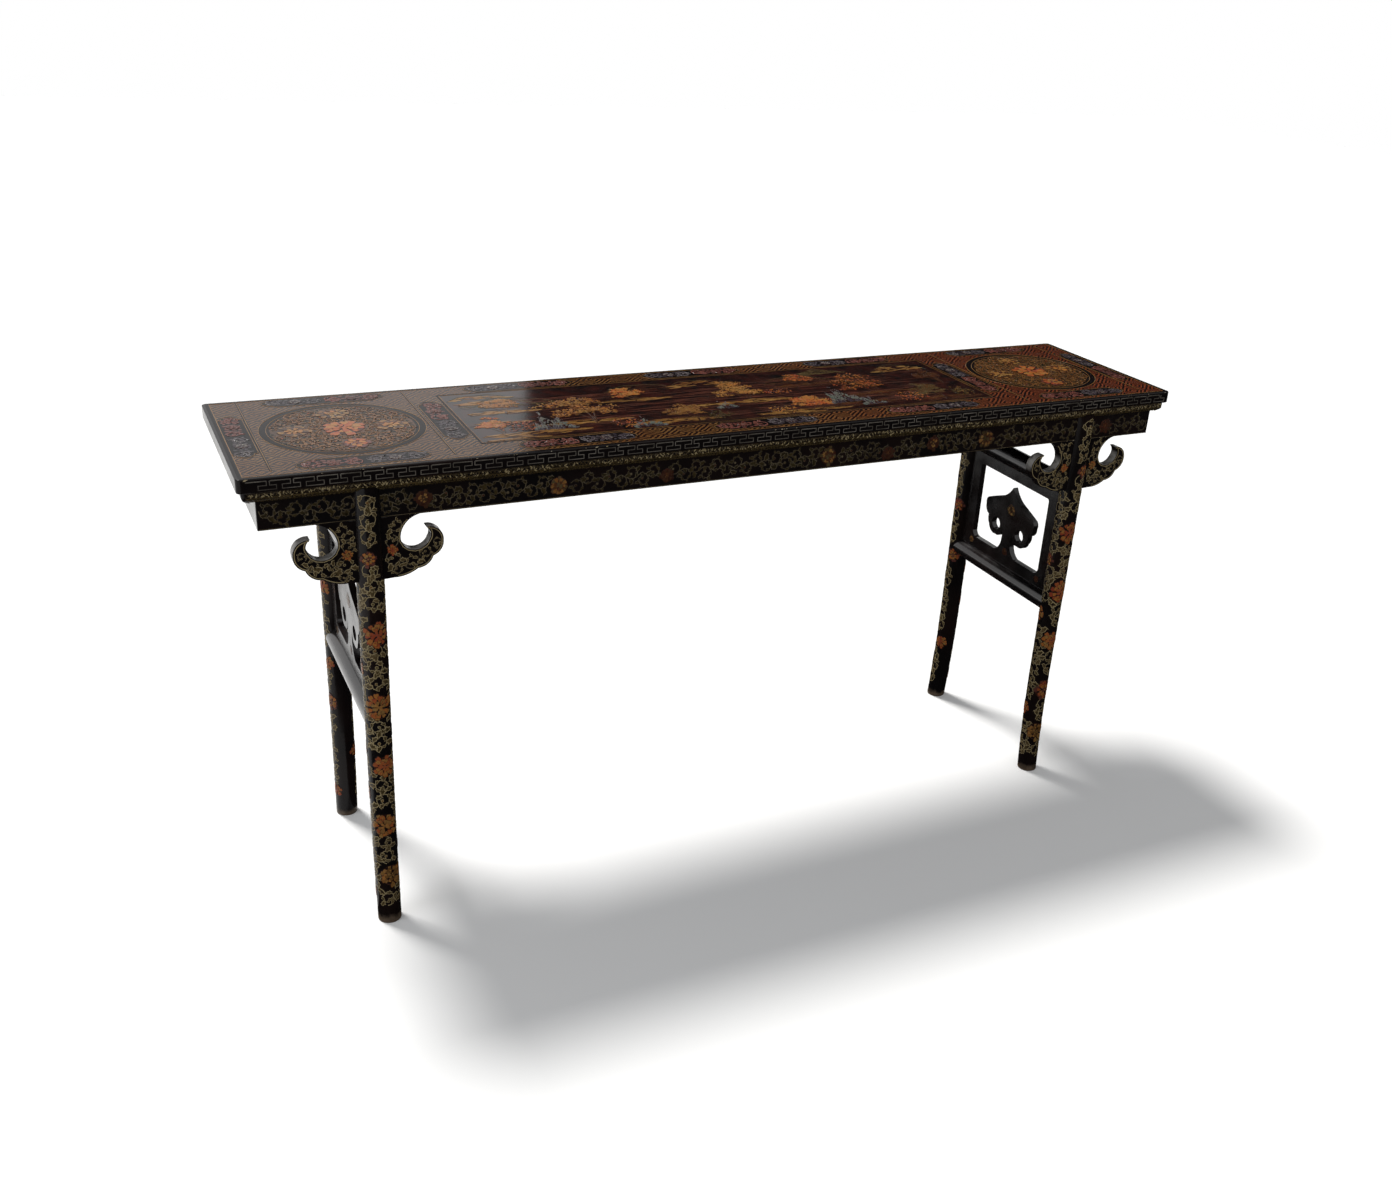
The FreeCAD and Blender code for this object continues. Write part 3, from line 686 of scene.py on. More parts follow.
def coat_height(order):
    """The hair's height at which a stroke lies, so that no two that cross are level."""
    return order * 0.618 % 1 * OVERLAP


def curve_data(paths):
    """Curves through points, each a (points, radii) pair, on the flat."""
    data = bpy.data.curves.new("paths", "CURVE")
    data.dimensions = "3D"
    for order, (points, radii) in enumerate(paths):
        spline = data.splines.new("POLY")
        spline.points.add(len(points) - 1)
        flat = np.zeros((len(points), 4))
        flat[:, :2] = points
        flat[:, 2] = coat_height(order)
        flat[:, 3] = 1
        spline.points.foreach_set("co", flat.ravel())
        spline.points.foreach_set("radius", np.broadcast_to(radii, len(points)).astype(float))
    return data


def lines(paths, width, material, closed=False, lift=0.0):
    """Painted lines along paths."""
    data = curve_data(paths)
    for spline in data.splines:
        spline.use_cyclic_u = closed
    part = grow("line", data, Line_Width=width, Paint_Relief=sizes().relief, Material=PALETTE[material])
    return raised(part, lift)


def even_line(path, width, material, closed=False, lift=0.0):
    """One painted line of even width."""
    return lines([(path, 1.0)], width, material, closed, lift)


def stamps(motif, spots, material, rim=None, lift=0.0, size_spread=0.12, turn_spread=0.15, seed=1,
           relief=1.0):
    """A motif on spots, each an (x, y, turn, size) row."""
    spots = np.array(spots, float).reshape(-1, 4)
    mesh = bpy.data.meshes.new("spots")
    mesh.vertices.add(len(spots))
    coats = coat_height(np.arange(len(spots)))
    mesh.vertices.foreach_set("co", np.column_stack((spots[:, :2], coats)).ravel())
    for name, column in (("turn", 2), ("size", 3)):
        mesh.attributes.new(name, "FLOAT", "POINT").data.foreach_set("value", spots[:, column])
    part = grow("stamp", mesh, Motif=MOTIFS[motif], Paint_Relief=sizes().relief * relief,
                Size_Spread=size_spread, Turn_Spread=turn_spread, Seed=seed, Material=PALETTE[material],
                Rim_Material=PALETTE[rim or material])
    return raised(part, lift)


def filled(name, outline, edge, material, relief):
    """A field of paint that fills an outline."""
    MOTIFS[name] = pad(name, outline, edge)
    return stamps(name, [(0, 0, 0, 1)], material, size_spread=0, turn_spread=0, relief=relief)


# Scrolling vines


class Vine:
    """A scrolling vine: curls that run from circle to circle, with leaves and buds."""

    def __init__(self, seed, inside, flowers, leafy=1.0):
        self.random = random.Random(seed)
        self.leafy = leafy
        self.seed = seed
        self.inside = inside
        self.flowers = [flower[:3] for flower in flowers]
        self.paths, self.buds = [], []
        self.leaves = {1: [], -1: []}

    def is_clear(self, x, y, margin):
        return all(math.hypot(x - cx, y - cy) > reach + margin for cx, cy, reach in self.flowers)

    def leaf(self, x, y, turn, length, side):
        """A leaf, shortened or left out where it would leave the vine's place."""
        if not self.is_clear(x, y, 0):
            return
        for share in (1.0, 0.75, 0.55):
            reach = length * share * 0.85
            ahead = turn + side * 0.45
            if self.inside(x + reach * math.cos(ahead), y + reach * math.sin(ahead)):
                self.leaves[side].append((x, y, turn, length * share))
                return

    def curl(self, circle, start, passing, turn):
        """One curl: round the circle past where the next one joins, then inwards to a bud."""
        x, y, radius = circle
        outer = ((passing - start) * turn) % TURN
        inner = TURN * self.random.uniform(0.72, 0.88)
        count = 18
        swing = np.linspace(0, outer + inner, count)
        fade = np.clip((swing - outer) / inner, 0, 1)
        reach = radius * (1 - 0.72 * fade ** 0.8)
        angle = start + turn * swing
        points = np.column_stack((x + reach * np.cos(angle), y + reach * np.sin(angle)))
        self.paths.append((points, 1.0 - 0.5 * fade))
        steps = max(7, round((outer + inner * 0.6) * radius / ((0.26 * radius + 3.2 * MM) * self.leafy)))
        side = self.random.choice((-1, 1))
        for i in range(steps):
            share = (i + 0.6) / (steps + 0.4)
            at = share * (outer + inner)
            shrink = float(np.interp(at, swing, fade))
            spot = [float(np.interp(at, swing, points[:, axis])) for axis in (0, 1)]
            tangent = start + turn * (at + TURN / 4)
            length = radius * self.leafy * (1.0 if side * turn < 0 else 0.66) * (1 - 0.42 * shrink)
            lean = self.random.uniform(0.35, 0.8)
            self.leaf(*spot, tangent + side * lean, length * self.random.uniform(0.85, 1.1), side)
            side = -side
        self.buds.append((points[-1][0], points[-1][1], self.random.uniform(0, TURN), radius * 0.19))

    def chain(self, circles, closed=False):
        """Curls along a row of circles that touch, turning one way and then the other."""
        count = len(circles)
        for i, (x, y, radius) in enumerate(circles):
            turn = 1 if i % 2 == 0 else -1
            before = circles[i - 1] if (i or closed) else (x - radius, y, radius)
            after = circles[(i + 1) % count] if (i < count - 1 or closed) else (x + radius, y, radius)
            if not (self.is_clear(x, y, 0.3 * radius) and self.inside(x, y)):
                continue
            start = math.atan2(before[1] - y, before[0] - x)
            passing = math.atan2(after[1] - y, after[0] - x)
            self.curl((x, y, radius * self.random.uniform(0.92, 1.02)), start, passing, turn)

    def strip(self, start, end, middle, half_width, radius):
        """Curls along a straight strip, by turns above and below its middle."""
        off = half_width - radius
        pitch = 2 * math.sqrt(radius ** 2 - off ** 2)
        count = max(2, round((end - start - 2 * radius) / pitch) + 1)
        pitch = (end - start - 2 * radius) / (count - 1)
        self.chain([(start + radius + i * pitch, middle + (off if i % 2 == 0 else -off), radius)
                    for i in range(count)])

    def ring(self, centre, reach, radius):
        """Curls round a circle."""
        count = 2 * round(TURN * reach / (2 * radius) / 2)
        turns = [TURN * i / count for i in range(count)]
        self.chain([(centre[0] + reach * math.cos(a), centre[1] + reach * math.sin(a), radius)
                    for a in turns], closed=True)

    def parts(self, stem, leaf, rim, width, buds=("cream", "red", "orange", "cream")):
        """The vine's painted parts."""
        made = [lines(self.paths, width, stem)]
        for side, name in ((1, "leaf_left"), (-1, "leaf_right")):
            if self.leaves[side]:
                made.append(stamps(name, self.leaves[side], leaf, rim, seed=self.seed,
                                   lift=sizes().relief * 0.3))
        for i, tint in enumerate(buds):
            if self.buds[i::len(buds)]:
                made.append(stamps("dot", self.buds[i::len(buds)], tint, rim, seed=i,
                                   lift=sizes().relief * 0.6))
        return made


def filler(inside, low, high, spacing, least, most, tint, rim, seed):
    """Small leaves strewn wherever the region allows, to close a ground's gaps."""
    step = 3.0 * MM
    spread = [(0.5 * most * math.cos(a), 0.5 * most * math.sin(a)) for a in np.arange(0, TURN, TURN / 6)]
    columns, rows = int((high[0] - low[0]) / step), int((high[1] - low[1]) / step)
    shape = bmesh.new()
    corners = {}
    for i in range(columns):
        for j in range(rows):
            x, y = low[0] + (i + 0.5) * step, low[1] + (j + 0.5) * step
            if not all(inside(x + a, y + b) for a, b in spread):
                continue
            square = []
            for a, b in ((i, j), (i + 1, j), (i + 1, j + 1), (i, j + 1)):
                if (a, b) not in corners:
                    coat = (a * 3 + b * 7) % 5 * 0.2 * OVERLAP
                    corners[a, b] = shape.verts.new((low[0] + a * step, low[1] + b * step, coat))
                square.append(corners[a, b])
            shape.faces.new(square)
    mesh = bpy.data.meshes.new("region")
    shape.to_mesh(mesh)
    shape.free()
    return grow("scatter", mesh, Motif=MOTIFS["leaflet"], Spacing=spacing, Density=90000.0,
                Least_Size=least, Most_Size=most, Lean=0.0, Lean_Spread=math.pi,
                Paint_Relief=sizes().relief * 0.8, Seed=seed, Material=PALETTE[tint],
                Rim_Material=PALETTE[rim])


def peony(x, y, radius, tints, lift, turn=0.0, seed=5):
    """A full-blown peony: a dark ground, uneven rings of petals and a heart."""
    outer, middle, inner, rim = tints
    step = sizes().relief
    chance = random.Random(seed * 7 + round(x * 1000))
    made = [stamps("disc", [(x, y, 0, radius * 0.86)], "ember", lift=lift, size_spread=0, relief=0.6)]
    for count, reach, length, tint, edge, level in (
            (11, 0.46, 0.56, outer, "ember", 0.5), (9, 0.30, 0.54, middle, "ember", 0.9),
            (7, 0.14, 0.46, inner, "ember", 1.3), (4, 0.02, 0.34, outer, rim, 1.7)):
        petals = []
        for i in range(count):
            angle = turn + TURN * (i + level + chance.uniform(-0.25, 0.25)) / count
            away = radius * reach * chance.uniform(0.8, 1.15)
            petals.append((x + away * math.cos(angle), y + away * math.sin(angle),
                           angle + chance.uniform(-0.4, 0.4), radius * length * chance.uniform(0.7, 1.15)))
        made.append(stamps("petal", petals, tint, edge, lift=lift + step * level, size_spread=0.10,
                           turn_spread=0.15, seed=seed))
    made.append(stamps("dot", [(x, y, 0, radius * 0.12)], inner, rim, lift=lift + step * 2))
    return made


PEONY_TINTS = {
    "red": ("red", "orange", "red", "rose"),
    "orange": ("orange", "red", "ochre", "gold"),
    "pink": ("pink", "red", "orange", "rose"),
    "yellow": ("ochre", "orange", "gold", "tan"),
    "golden": ("ochre", "amber", "orange", "gold"),
}
# Dimmer peonies for the aprons and the end panels. On the aprons they are partly painted shade, darker
# where the moulding above shades them.
DIMMED_TINTS = {
    "red": ("ember", "bark", "ember", "ochre"),
    "orange": ("bark", "ember", "ochre", "tan"),
    "yellow": ("tan", "ochre", "amber", "tan"),
}


# Wraps: flat painting to its place on the table. The paint's third axis is its relief.


def turned(quarter, x, y):
    """Turns places about the table's upright axis by quarter turns."""
    angle = quarter * TURN / 4
    return x * math.cos(angle) - y * math.sin(angle), x * math.sin(angle) + y * math.cos(angle)


def on_upright(distance, quarter):
    """Onto an upright face: along it, and at its own height."""
    def wrap(p):
        x, y = turned(quarter, p[:, 0], -(distance + p[:, 2]))
        return np.column_stack((x, y, p[:, 1]))
    return wrap


def on_top(p):
    """Onto the top's face."""
    return np.column_stack((p[:, 0], p[:, 1] + LAYOUT_SHIFT * MM, TOP_Z + p[:, 2]))


def leg_radius(z):
    return LEG_FOOT_RADIUS + (LEG_TOP_RADIUS - LEG_FOOT_RADIUS) * z / MOULDING_BOTTOM


def leg_centre(z):
    rise = np.maximum(0, 1 - z / LEG_KICK_HEIGHT)
    return LEG_Y + LEG_KICK * rise * rise


def on_leg(x_side, y_side):
    """Round a leg: first axis up the leg, second axis round it from its outer side."""
    def wrap(p):
        angle = -p[:, 1] / LEG_TOP_RADIUS
        reach = leg_radius(p[:, 0]) + p[:, 2] + 0.05 * MM
        x, y = reach * np.sin(angle), -leg_centre(p[:, 0]) - reach * np.cos(angle)
        if y_side > 0:
            x, y = -x, -y
        return np.column_stack((x + x_side * LEG_X, y, p[:, 0]))
    return wrap


def round_run(half_x, half_y, corner):
    """Lengths from the front left corner at which each straight and each bend of a loop begins."""
    bend = corner * TURN / 4
    flat_x, flat_y = 2 * (half_x - corner), 2 * (half_y - corner)
    return np.concatenate(([0], np.cumsum([flat_x, bend, flat_y, bend] * 2)))


def round_loop(along, out, half_x, half_y, corner):
    """Places round a rectangle with rounded corners, so far along it and so far out from it."""
    edges = round_run(half_x, half_y, corner)
    along = along % edges[-1]
    x, y = np.zeros(len(along)), np.zeros(len(along))
    for i, (sign_x, sign_y) in enumerate(((1, -1), (1, 1), (-1, 1), (-1, -1))):
        straight = (along >= edges[2 * i]) & (along < edges[2 * i + 1])
        half = (edges[2 * i + 1] - edges[2 * i]) / 2
        distance = half_y if i % 2 == 0 else half_x
        side_x, side_y = turned(i, along - edges[2 * i] - half, -(distance + out))
        x, y = np.where(straight, side_x, x), np.where(straight, side_y, y)
        bent = (along >= edges[2 * i + 1]) & (along <= edges[2 * i + 2])
        angle = (i - 1) * TURN / 4 + (along - edges[2 * i + 1]) / corner
        x = np.where(bent, sign_x * (half_x - corner) + (corner + out) * np.cos(angle), x)
        y = np.where(bent, sign_y * (half_y - corner) + (corner + out) * np.sin(angle), y)
    return x, y


def round_moulding(p):
    """Round all four mouldings: first axis along them, second axis down their section."""
    down = -p[:, 1]
    upright = FRAME_BOTTOM - MOULDING_BOTTOM - MOULDING_ROUND
    swing = np.clip((down - upright) / MOULDING_ROUND, 0, TURN / 4)
    out = MOULDING_ROUND * (np.cos(swing) - 1) + p[:, 2] * np.cos(swing)
    z = FRAME_BOTTOM - np.minimum(down, upright) - (MOULDING_ROUND + p[:, 2]) * np.sin(swing)
    x, y = round_loop(p[:, 0], out, MOULDING_X, MOULDING_Y, MOULDING_CORNER)
    return np.column_stack((x, y, z))


def round_slab(p):
    """Round the slab's edge: first axis along it, second axis at its own height."""
    x, y = round_loop(p[:, 0], p[:, 2], HALF_LENGTH, HALF_DEPTH, SLAB_CORNER)
    return np.column_stack((x, y, p[:, 1]))


MOULDING_ROUND_TRIP = round_run(MOULDING_X, MOULDING_Y, MOULDING_CORNER)[-1]


# Pieces


class LacquerFrame(bpy.types.Operator):
    """Gives each carried-over wooden part its lacquer."""

    bl_idname = "altar_table.lacquer_frame"
    bl_label = "Lacquer the Frame"

    # Finish of each part, by how its name begins. The others are plain.
    FINISHES = {"top_": "top", "batten": "underside", "leg": "legs", "moulding": "satin",
                "front_apron": "satin", "back_apron": "satin", "upper_rail": "polished",
                "lower_rail": "polished"}

    def execute(self, context):
        ready()
        for name, node in NODES.items():
            known = (finish for start, finish in self.FINISHES.items() if name.startswith(start))
            finish = next(known, "plain")
            for slot in node.material_slots:
                slot.material = PALETTE[finish]
        return {"FINISHED"}


class SoftenCarving(bpy.types.Operator):
    """Rounds the sawn edges of the spandrels and the cloud ornaments."""

    bl_idname = "altar_table.soften_carving"
    bl_label = "Carved Boards"

    # Carved parts, by how their names begin: width of the rounding, slot and finish
    CARVED = {"spandrel": (1.6 * MM, "scrollwork_lacquer", "carved"),
              "cloud_ornament": (2.2 * MM, "plain_lacquer", "plain")}

    def execute(self, context):
        ready()
        for name, node in list(NODES.items()):
            for start, manner in self.CARVED.items():
                if name.startswith(start):
                    self.soften(name, node, *manner)
        return {"FINISHED"}

    def soften(self, name, node, width, slot, finish):
        shape = bmesh.new()
        shape.from_mesh(node.data)
        bmesh.ops.remove_doubles(shape, verts=shape.verts, dist=0.001 * MM)
        bmesh.ops.dissolve_limit(shape, angle_limit=math.radians(0.5), verts=shape.verts, edges=shape.edges)
        mesh = bpy.data.meshes.new(name + "_softened")
        shape.to_mesh(mesh)
        shape.free()
        mesh.materials.clear()
        mesh.materials.append(PALETTE[finish])
        made = dress(name + "_softened", mesh)
        bevel = made.modifiers.new("soft_edges", "BEVEL")
        bevel.width = width
        bevel.segments = 3
        bevel.limit_method = "ANGLE"
        bevel.angle_limit = math.radians(50)
        for face in mesh.polygons:
            face.use_smooth = True
        corner = made.modifiers.new("even_light", "WEIGHTED_NORMAL")
        corner.keep_sharp = True
        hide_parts(name)


class PaintFret(bpy.types.Operator):
    """Paints the key fret round the slab's edge."""

    bl_idname = "altar_table.paint_fret"
    bl_label = "Key Fret"

    def execute(self, context):
        ready()
        size = sizes()
        top = size.fret_height / 2
        steps = [(0.0, 1), (0.87, 1), (0.87, 0), (0.52, 0), (0.52, -1), (1.28, -1), (1.28, 0), (1.0, 0),
                 (1.0, 1)]
        path = [(x * size.fret_pitch, level * top) for x, level in steps]
        key = bpy.data.objects.new("key", curve_data([(path, 1.0)]))
        middle = (TOP_Z + FRAME_BOTTOM) / 2 - 0.4 * MM
        starts = round_run(HALF_LENGTH, HALF_DEPTH, SLAB_CORNER)
        parts = []
        for side in range(4):
            start, end = starts[2 * side] + 3 * MM, starts[2 * side + 1] - 3 * MM
            count = int((end - start) / size.fret_pitch)
            pitch = (end - start - 0.28 * size.fret_pitch) / count
            row = grow("fret", bpy.data.meshes.new("fret"), Key=key, Key_Count=count, Key_Pitch=pitch,
                       Line_Width=size.fret_line, Paint_Relief=size.relief, Material=PALETTE["grey"])
            row["places"][:, 0] += start
            row["places"][:, 1] += middle
            parts.append(row)
        along = np.arange(0, starts[-1] - 0.5 * MM, 1.5 * MM)
        height = TOP_Z - FRAME_BOTTOM - 3.4 * MM
        band = np.column_stack((along, np.full(len(along), FRAME_BOTTOM + 1.0 * MM + height / 2)))
        parts.append(raised(even_line(band, height, "ground"), -0.12 * MM))
        piece("key_fret_band", parts, round_slab)
        return {"FINISHED"}


class GildMoulding(bpy.types.Operator):
    """Gilds the moulding with rows of small lappets."""

    bl_idname = "altar_table.gild_moulding"
    bl_label = "Gilt Moulding"

    def execute(self, context):
        ready()
        count = round(MOULDING_ROUND_TRIP / (6.6 * MM))
        pitch = MOULDING_ROUND_TRIP / count
        parts = []
        for row, (level, tint, rim) in enumerate(((-3.4, "ground", "tan"), (-9.8, "moss", "olive"),
                                                  (-16.2, "ground", "tan"))):
            spots = [((i + 0.5 * (row % 2)) * pitch, level * MM, 0.0, pitch * 1.02) for i in range(count)]
            parts.append(stamps("lappet", spots, tint, rim, turn_spread=0.25, size_spread=0.15, seed=row))
        chance = random.Random(4)
        spots = []
        for _ in range(round(MOULDING_ROUND_TRIP / (2.3 * MM))):
            along = chance.uniform(3 * MM, MOULDING_ROUND_TRIP - 3 * MM)
            spots.append((along, -chance.triangular(2.5, 13.0, 4.5) * MM, chance.uniform(0.4, 2.7),
                          chance.uniform(3.6, 7.0) * MM))
        for start, tint in ((0, "cream"), (1, "cream"), (2, "drab")):
            parts.append(stamps("dab", spots[start::3], tint, lift=sizes().relief * 0.8, seed=9 + start))
        along = np.arange(0, MOULDING_ROUND_TRIP - 0.5 * MM, 2.0 * MM)
        for level in (-1.7 * MM, -24.0 * MM):
            edge = np.column_stack((along, np.full(len(along), level)))
            parts.append(even_line(edge, 1.1 * MM, "tan"))
        piece("gilt_moulding_band", parts, round_moulding)
        return {"FINISHED"}


class PaintAprons(bpy.types.Operator):
    """Paints scrolling vines on the aprons."""

    bl_idname = "altar_table.paint_aprons"
    bl_label = "Apron Scrolls"

    # Peonies of a long apron: place along it and height above its lower edge in mm, radius, tint
    FLOWERS = [(-620, 25, 15, "orange"), (-395, 22, 17, "yellow"), (-200, 20, 14, "red"),
               (118, 24, 18, "yellow"), (246, 17, 14, "red"), (345, 27, 15, "orange"),
               (467, 25, 19, "yellow"), (760, 25, 15, "red")]

    def execute(self, context):
        ready()
        low, high = APRON_BOTTOM, MOULDING_BOTTOM
        middle = (low + high) / 2
        for quarter, half, distance, place in (
                (0, APRON_X, APRON_Y, "front"), (1, APRON_Y, APRON_X, "right"),
                (2, APRON_X, APRON_Y, "back"), (3, APRON_Y, APRON_X, "left")):
            def inside(x, y):
                return abs(x) < half - 2.5 * MM and low + 3.2 * MM < y < high - 1.5 * MM
            flowers = [(x * MM, low + y * MM, r * MM, tint) for x, y, r, tint in self.FLOWERS]
            if half < 0.5:
                flowers = [(0.0, middle, 17 * MM, "orange" if quarter == 1 else "red")]
            vine = Vine(quarter + 11, inside, flowers, 1.25)
            vine.strip(-half + 3 * MM, half - 3 * MM, middle + 0.5 * MM, 21.0 * MM, 12.8 * MM)
            # Paints darker than the legs' cream and olive: partly painted shade, for the shade that the
            # moulding casts on the aprons.
            parts = vine.parts("dun", "moss", "dun", sizes().vine_line * 0.8, ("drab", "ember", "olive"))
            for i, (x, y, radius, tint) in enumerate(flowers):
                parts += peony(x, y, radius, DIMMED_TINTS[tint], sizes().relief, i * 0.7, i + 3)
            edge = np.array([(-half + 2.2 * MM, low + 2.0 * MM), (half - 2.2 * MM, low + 2.0 * MM)])
            parts.append(even_line(edge, 1.0 * MM, "drab"))
            piece("apron_scrolls_" + place, parts, on_upright(distance, quarter))
        return {"FINISHED"}


class PaintLegs(bpy.types.Operator):
    """Paints scrolling vines and peonies round the legs."""

    bl_idname = "altar_table.paint_legs"
    bl_label = "Leg Scrolls"

    # Peonies on a leg: height and place round it from its outer side in mm, radius, tint
    FLOWERS = [(98, 4, 23, "yellow"), (200, -3, 26, "orange"), (318, 3, 22, "red"), (433, -2, 26, "orange"),
               (566, 2, 24, "red"), (700, -6, 14, "pink"),
               (150, 44, 17, "red"), (376, 45, 18, "yellow"), (500, 42, 16, "pink"),
               (262, -44, 18, "pink"), (345, -46, 14, "red"), (505, -43, 18, "orange"),
               (60, -44, 15, "red")]

    def execute(self, context):
        ready()
        slot_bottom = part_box("spandrel_front_left_outer")[0].z
        plain = TURN / 2 * LEG_TOP_RADIUS - 15 * MM
        slot_reach = 17.0 * MM
        shift = 3.5 * MM
        for x_side, x_name in ((-1, "left"), (1, "right")):
            for y_side, y_name in ((-1, "front"), (1, "back")):
                side = x_side * y_side

                def inside(z, across):
                    reach = plain if z < slot_bottom else slot_reach
                    away = abs(across - shift * side)
                    return away < reach and 34 * MM < z < MOULDING_BOTTOM - 2 * MM
                tints = ["orange", "red", "yellow", "pink"]
                flowers = []
                for i, (z, across, radius, tint) in enumerate(self.FLOWERS):
                    if y_side > 0 or x_side > 0:
                        tint = tints[(i * 3 + x_side + y_side) % 4] if i % 2 else tint
                    flowers.append((z * MM, -across * side * MM, radius * MM, tint))
                vine = Vine(40 + 3 * x_side + 5 * y_side, inside, flowers, 1.45)
                for across, top in ((shift * side, MOULDING_BOTTOM - 3 * MM), (-33 * MM, slot_bottom),
                                    (36 * MM, slot_bottom)):
                    vine.strip(36 * MM, top, across, 17.6 * MM, 14.6 * MM)
                parts = vine.parts("cream", "olive", "cream", sizes().vine_line * 0.8, ("sage", "gold"))
                for i, (z, across, radius, tint) in enumerate(flowers):
                    parts += peony(z, across, radius, PEONY_TINTS[tint], sizes().relief, i * 0.9, i)
                piece("leg_scrolls_%s_%s" % (y_name, x_name), parts, on_leg(x_side, y_side))
        return {"FINISHED"}


def spandrel_outline(steps=7):
    """The spandrel's outline from its upper corner round to its foot, in shares."""
    points = [np.array(SPANDREL_START)]
    start = SPANDREL_START
    for middle, end in SPANDREL_ARCS:
        points += arc_points(start, middle, end, steps)
        start = end
    return np.array(points)


def arc_points(start, middle, end, steps):
    """Points along a circle through three points, in real proportions."""
    scale = np.array((SPANDREL_REACH, SPANDREL_DROP))
    a, b, c = (np.array(p) * scale for p in (start, middle, end))
    system = 2 * np.array((b - a, c - a))
    centre = np.linalg.solve(system, np.array((b @ b - a @ a, c @ c - a @ a)))
    first = math.atan2(*(a - centre)[::-1])
    via = (math.atan2(*(b - centre)[::-1]) - first) % TURN
    sweep_angle = (math.atan2(*(c - centre)[::-1]) - first) % TURN
    if via > sweep_angle:
        sweep_angle -= TURN
    radius = np.linalg.norm(a - centre)
    angles = first + sweep_angle * np.arange(1, steps + 1) / steps
    return [(centre + radius * np.array((math.cos(t), math.sin(t)))) / scale for t in angles]


def inset(points, distance):
    """A path moved sideways to its right."""
    ahead = np.roll(points, -1, 0)
    behind = np.roll(points, 1, 0)
    ahead[-1], behind[0] = points[-1], points[0]
    run = ahead - behind
    run /= np.linalg.norm(run, axis=1)[:, None]
    return points + distance * np.column_stack((run[:, 1], -run[:, 0]))


def within(outline, x, y):
    """Whether a point lies inside a closed outline."""
    odd = False
    for (ax, ay), (bx, by) in zip(outline, np.roll(outline, -1, 0)):
        if (ay > y) != (by > y) and x < ax + (y - ay) / (by - ay) * (bx - ax):
            odd = not odd
    return odd


class PaintSpandrels(bpy.types.Operator):
    """Paints scrolls and light outlines on the cloud-head spandrels."""

    bl_idname = "altar_table.paint_spandrels"
    bl_label = "Spandrel Scrolls"

    # Curls of a spandrel: place in shares of its reach and drop, and radius in mm
    CURLS = [(0.360, 0.120, 13.0), (0.285, 0.390, 12.0), (0.320, 0.660, 14.0), (0.345, 0.870, 9.0),
             (0.545, 0.760, 13.0), (0.745, 0.640, 10.5), (0.895, 0.480, 8.5)]

    def execute(self, context):
        ready()
        for side in (-1, 1):
            parts = []
            for x_side in (-1, 1):
                for out in (-1, 1):
                    parts += self.face(x_side, out, side)
            name = "front" if side < 0 else "back"
            quarter = 0 if side < 0 else 2
            piece("spandrel_scrolls_" + name, parts, on_upright(APRON_Y, quarter))
        return {"FINISHED"}

    def face(self, x_side, out, side):
        """The painting of one spandrel, beside the leg at x_side."""
        scale = np.array((SPANDREL_REACH, SPANDREL_DROP))
        place = np.array((x_side * LEG_X, APRON_BOTTOM))
        signs = np.array((out, -1))
        outline = spandrel_outline() * scale
        edge = place + signs * inset(outline, -2.6 * MM)[3:-1]
        hem = np.concatenate((inset(outline, -4.8 * MM), [(0.16 * SPANDREL_REACH, 0.96 * SPANDREL_DROP),
                                                          (0.16 * SPANDREL_REACH, 0.0)]))
        hem = place + signs * hem

        def inside(x, y):
            return within(hem, x, y)
        flower = place + signs * scale * (0.30, 0.53)
        flowers = [(flower[0], flower[1], 9.5 * MM)]
        vine = Vine(60 + 7 * x_side + 3 * out + side, inside, flowers, 1.25)
        vine.chain([(*(place + signs * scale * (x, z)), r * MM) for x, z, r in self.CURLS])
        ground = [tuple(point) for point in place + signs * np.concatenate(
            (inset(outline, -1.7 * MM), [(0.155 * SPANDREL_REACH, 0.97 * SPANDREL_DROP),
                                         (0.155 * SPANDREL_REACH, 0.0)]))]
        if out > 0:
            ground = ground[::-1]
        parts = [filled("cheek", ground, 0.1 * MM, "ground", 0.3)]
        made = vine.parts("drab", "olive", "cream", sizes().vine_line * 0.8, ("sage", "ember"))
        parts += [raised(part, sizes().relief * 0.3) for part in made]
        parts += peony(*flowers[0], PEONY_TINTS["orange" if out * x_side > 0 else "red"], sizes().relief)
        parts.append(even_line(edge, 1.5 * MM, "cream", lift=sizes().relief * 0.8))
        return parts


